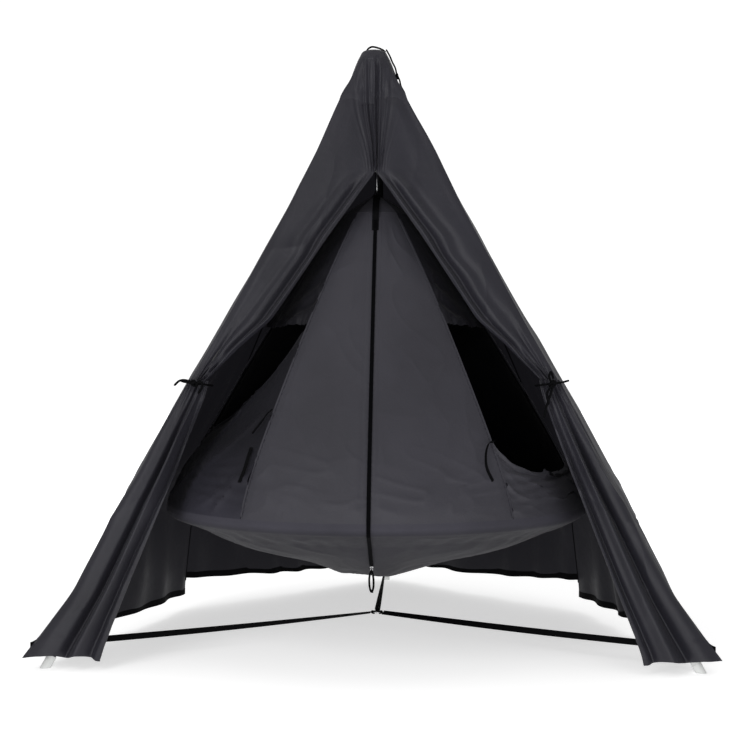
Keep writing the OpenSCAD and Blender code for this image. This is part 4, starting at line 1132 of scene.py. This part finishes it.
def build_pod_crown():
    """The crown's cloth cone, the webbing loop that hangs on the carabiner, and a tab sewn down the front."""
    bar_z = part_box("carabiner")[0].z + 0.005
    peak = bar_z - 0.020
    t = np.linspace(0, 1, 24)[:, None]
    edge_r = pod_radius(POD_TOP) + 0.003
    height = peak + (POD_TOP - 0.002 - peak) * t**1.3
    # The back of the crown takes the pod cloth's painted shade.
    sectors = {
        "front": (SEAM["left"], SEAM["right"], POD),
        "back": (SEAM["right"], 360 + SEAM["left"], POD_PAINTED_SHADE),
    }
    for place, (start, end, material) in sectors.items():
        around = np.linspace(FRONT + start, FRONT + end, 3 * (end - start) // 4)[None, :]
        gathers = 0.003 * np.cos(np.radians(around) * 16) * t * (1 - t)
        cone = polar(0.012 + (edge_r - 0.012) * t + gathers, around, height)
        cone = cloth(f"crown_cloth_{place}", cone, material)
        fit(cone, body="pod")
    strips = []
    for side in SIDES.values():
        path = [
            (side * 0.030, AXIS_Y, peak - 0.012),
            (side * 0.020, AXIS_Y, peak + 0.002),
            (side * 0.0125, AXIS_Y, bar_z - 0.008),
            (side * 0.0085, AXIS_Y, bar_z + 0.004),
            (0, AXIS_Y, bar_z + 0.0095),
        ]
        strips.append(ribbon("loop", path, [(0, 1, 0)] * len(path), 0.020, 0.0026, WEBBING))
    tab = [(0, AXIS_Y - 0.020, peak + 0.006)]
    for t in (0.3, 0.6, 1.0):
        tab.append((0, AXIS_Y - edge_r * t - 0.010, peak + (POD_TOP - peak) * t**1.3 + 0.002))
    for z in (POD_TOP - 0.04, POD_TOP - 0.09):
        tab.append((0, AXIS_Y - pod_radius(z) - 0.004, z))
    strips.append(ribbon("tab", tab, [(1, 0, 0)] * len(tab), 0.030, 0.0026, WEBBING))
    crown_piece = join("crown_webbing", strips)
    fit(crown_piece, "pod_crown", "pod")


def build_pod_webbing():
    """Webbing inside the four main seams, and a stitched fell on the outside of each."""
    inside = POD_FOOT + 0.004
    webbing = [strip_down_pod("inside", angle, 0.013, -0.010, WEBBING, inside, 0.002) for angle in POD_SEAMS]
    fit(join("seam_webbing", webbing), "pod_webbing", "pod")
    outside = POD_FOOT + 0.01
    fells = [strip_down_pod("fell", angle, 0.005, 0.0034, POD, outside, 0.003) for angle in POD_SEAMS]
    fit(join("seam_fells", fells), body="pod")


def on_pod(angle, z, out=0.010):
    """A point just outside the pod's side."""
    return polar(pod_radius(z) + out, FRONT + angle, z)


def build_pod_ties():
    """The side openings' ties: a hanging strap and a toggle on the left, a hooped tie on the right."""
    left = SEAM["left"] - 2
    hanging = [
        on_pod(left - 1.0, 0.905),
        on_pod(left - 0.4, 0.87, 0.018),
        on_pod(left - 0.2, 0.82, 0.018),
        on_pod(left - 0.6, 0.765, 0.016),
    ]
    strap = ribbon("strap", hanging, [(0.9, -0.45, 0.0)] * len(hanging), 0.015, 0.0022, WEBBING)
    slack = [on_pod(left + 1.6, 1.062, 0.012), on_pod(left + 0.8, 1.045, 0.020), on_pod(left, 1.020, 0.020)]
    cord = rope("cord", slack, 0.0030, CORD)
    upper, lower = on_pod(left + 0.1, 1.022, 0.020), on_pod(left - 2.0, 0.964, 0.020)
    bar = rope("toggle", [upper, (upper + lower) / 2, lower], 0.0042, CORD)
    tips = []
    for end, other in ((upper, lower), (lower, upper)):
        tips.append(rope("toggle_end", [end, end + (other - end) * 0.14], 0.0034, ZINC))
    right = SEAM["right"]
    hoop = [
        on_pod(right + 0.5, 0.930, 0.012),
        on_pod(right - 2.0, 0.925, 0.020),
        on_pod(right - 4.2, 0.885, 0.022),
        on_pod(right - 5.2, 0.83, 0.020),
        on_pod(right - 4.2, 0.775, 0.014),
    ]
    tie = ribbon("tie", hoop, [(0.6, -0.45, 0.6)] * len(hoop), 0.013, 0.0022, WEBBING)
    fit(join("pod_tie_webbing", [strap, cord, bar, *tips, tie]), "pod_ties", "pod")


def build_hanging_strap():
    """Two plies of webbing from the yoke's bar to the swivel, round both of them."""
    low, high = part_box("hanging_strap")
    x = middle_of("hanging_strap").x
    top, bottom = high.z - 0.008, low.z + 0.007
    top_r, bottom_r = 0.0068, 0.0058
    ply, straight = 0.0022, 0.030
    path = []
    for turn in np.radians(np.linspace(-60, 240, 9)):
        path.append((x, AXIS_Y + top_r * math.cos(turn), top + top_r * math.sin(turn)))
    path += [(x, AXIS_Y - ply, top - straight), (x, AXIS_Y - ply, bottom + straight)]
    for turn in np.radians(np.linspace(120, 420, 9)):
        path.append((x, AXIS_Y + bottom_r * math.cos(turn), bottom + bottom_r * math.sin(turn)))
    path += [(x, AXIS_Y + ply, bottom + straight), (x, AXIS_Y + ply, top - straight)]
    width = high.x - low.x
    strap = ribbon("hanging_webbing", path, [(1, 0, 0)] * len(path), width, 0.0024, WEBBING, per_span=4)
    fit(strap, "hanging_strap", "strap")


# ---- CAD nodes that stay in sight ----


def finish_frame():
    """Gives every CAD node that is shown its material."""
    painted = ["hub", "yoke", "pod_hoop"]
    plated = ["hinge_bolts", "hinge_nuts", "eye_bolt", "eye_nut", "base_ring", "swing_pin", "swivel_eye"]
    plated += ["carabiner", "carabiner_gate", "gate_pin", "zip_slider"]
    moulded = []
    sewn = []
    for leg in LEG_AZIMUTH:
        painted += [f"{leg}_leg_fork", f"{leg}_upper_tube", f"{leg}_lower_tube"]
        plated.append(f"{leg}_snap_button")
        moulded.append(f"{leg}_foot")
        sewn.append(f"{leg}_strap_keeper")
    for names, material in ((painted, PAINT), (plated, ZINC), (moulded, PLASTIC), (sewn, WEBBING)):
        for name in names:
            mesh = frame["nodes"][name].data
            mesh.materials.clear()
            mesh.materials.append(material)


# ---- Studio ----


def build_floor():
    """A pale floor that brightens to white away from the tent."""
    shader = Shader("floor")
    place = shader.add("ShaderNodeTexCoord").outputs["Object"]
    distance = shader.add("ShaderNodeVectorMath", "LENGTH", Vector=place).outputs["Value"]
    shader.fill(
        shader.surface,
        Base_Color=(0.8, 0.8, 0.8, 1),
        Roughness=0.8,
        Specular_IOR_Level=0.1,
        Emission_Color=(1, 1, 1, 1),
        Emission_Strength=shader.spread(distance, 0.58, 1.2, start=1.6, end=4.0),
    )
    size = 30.0
    corners = [(-size, -size, 0), (size, -size, 0), (size, size, 0), (-size, size, 0)]
    make_mesh("floor", corners, [(0, 1, 2, 3)], shader.material)


def build_surround():
    """A white surround that lights the tent less than it shows to the camera."""
    world = bpy.data.worlds.new("studio")
    bpy.context.scene.world = world
    world.use_nodes = True
    nodes = world.node_tree.nodes
    links = world.node_tree.links
    seen = nodes.new("ShaderNodeLightPath")
    strength = nodes.new("ShaderNodeMapRange")
    strength.inputs["To Min"].default_value = 0.36
    strength.inputs["To Max"].default_value = 1.1
    links.new(seen.outputs["Is Camera Ray"], strength.inputs["Value"])
    nodes["Background"].inputs["Color"].default_value = (1, 1, 1, 1)
    links.new(strength.outputs["Result"], nodes["Background"].inputs["Strength"])


# Soft round lamps: place, width and power
LAMPS = {
    "key": ((-3.5, -6.0, 5.5), 4.0, 125),
    "fill": ((3.6, -6.5, 1.9), 3.0, 48),
    "low": ((-3.6, -6.5, 1.9), 3.0, 55),
    "front": ((0.3, -8.0, 1.6), 2.5, 76),
    "top": ((0.0, 1.0, 7.5), 7.0, 90),
    "back": ((0.0, 6.0, 4.0), 5.0, 40),
}


def build_lamps():
    """The lamps, all aimed at the middle of the pod."""
    for name, (place, width, power) in LAMPS.items():
        data = bpy.data.lights.new(name, "AREA")
        data.shape = "DISK"
        data.size = width
        data.energy = power
        lamp = bpy.data.objects.new(name, data)
        lamp.location = place
        aim = Vector((0, AXIS_Y, 1.0)) - Vector(place)
        lamp.rotation_euler = aim.to_track_quat("-Z", "Y").to_euler()
        bpy.context.scene.collection.objects.link(lamp)


def build_camera():
    """A level camera in front of the doorway, a little to its right."""
    distance = 6.23
    height = 1.243
    orbit = math.radians(2.0)
    data = bpy.data.cameras.new("camera")
    data.sensor_width = 36
    data.lens = 65.47
    data.shift_x = -0.0143
    camera = bpy.data.objects.new("camera", data)
    camera.location = (distance * math.sin(orbit), AXIS_Y - distance * math.cos(orbit), height)
    camera.rotation_euler = (math.radians(90), 0, orbit)
    scene = bpy.context.scene
    scene.collection.objects.link(camera)
    scene.camera = camera
    scene.view_settings.view_transform = "Standard"


build_walls()
build_wall_seams()
build_front()
build_flaps()
build_door_ties()
build_cap()
build_base_straps()
build_pod_front()
build_pod_sides()
build_pod_back()
build_bowl()
build_mattress()
build_zip()
build_zip_pull()
build_pod_crown()
build_pod_webbing()
build_pod_ties()
build_hanging_strap()
finish_frame()
build_floor()
build_surround()
build_lamps()
build_camera()
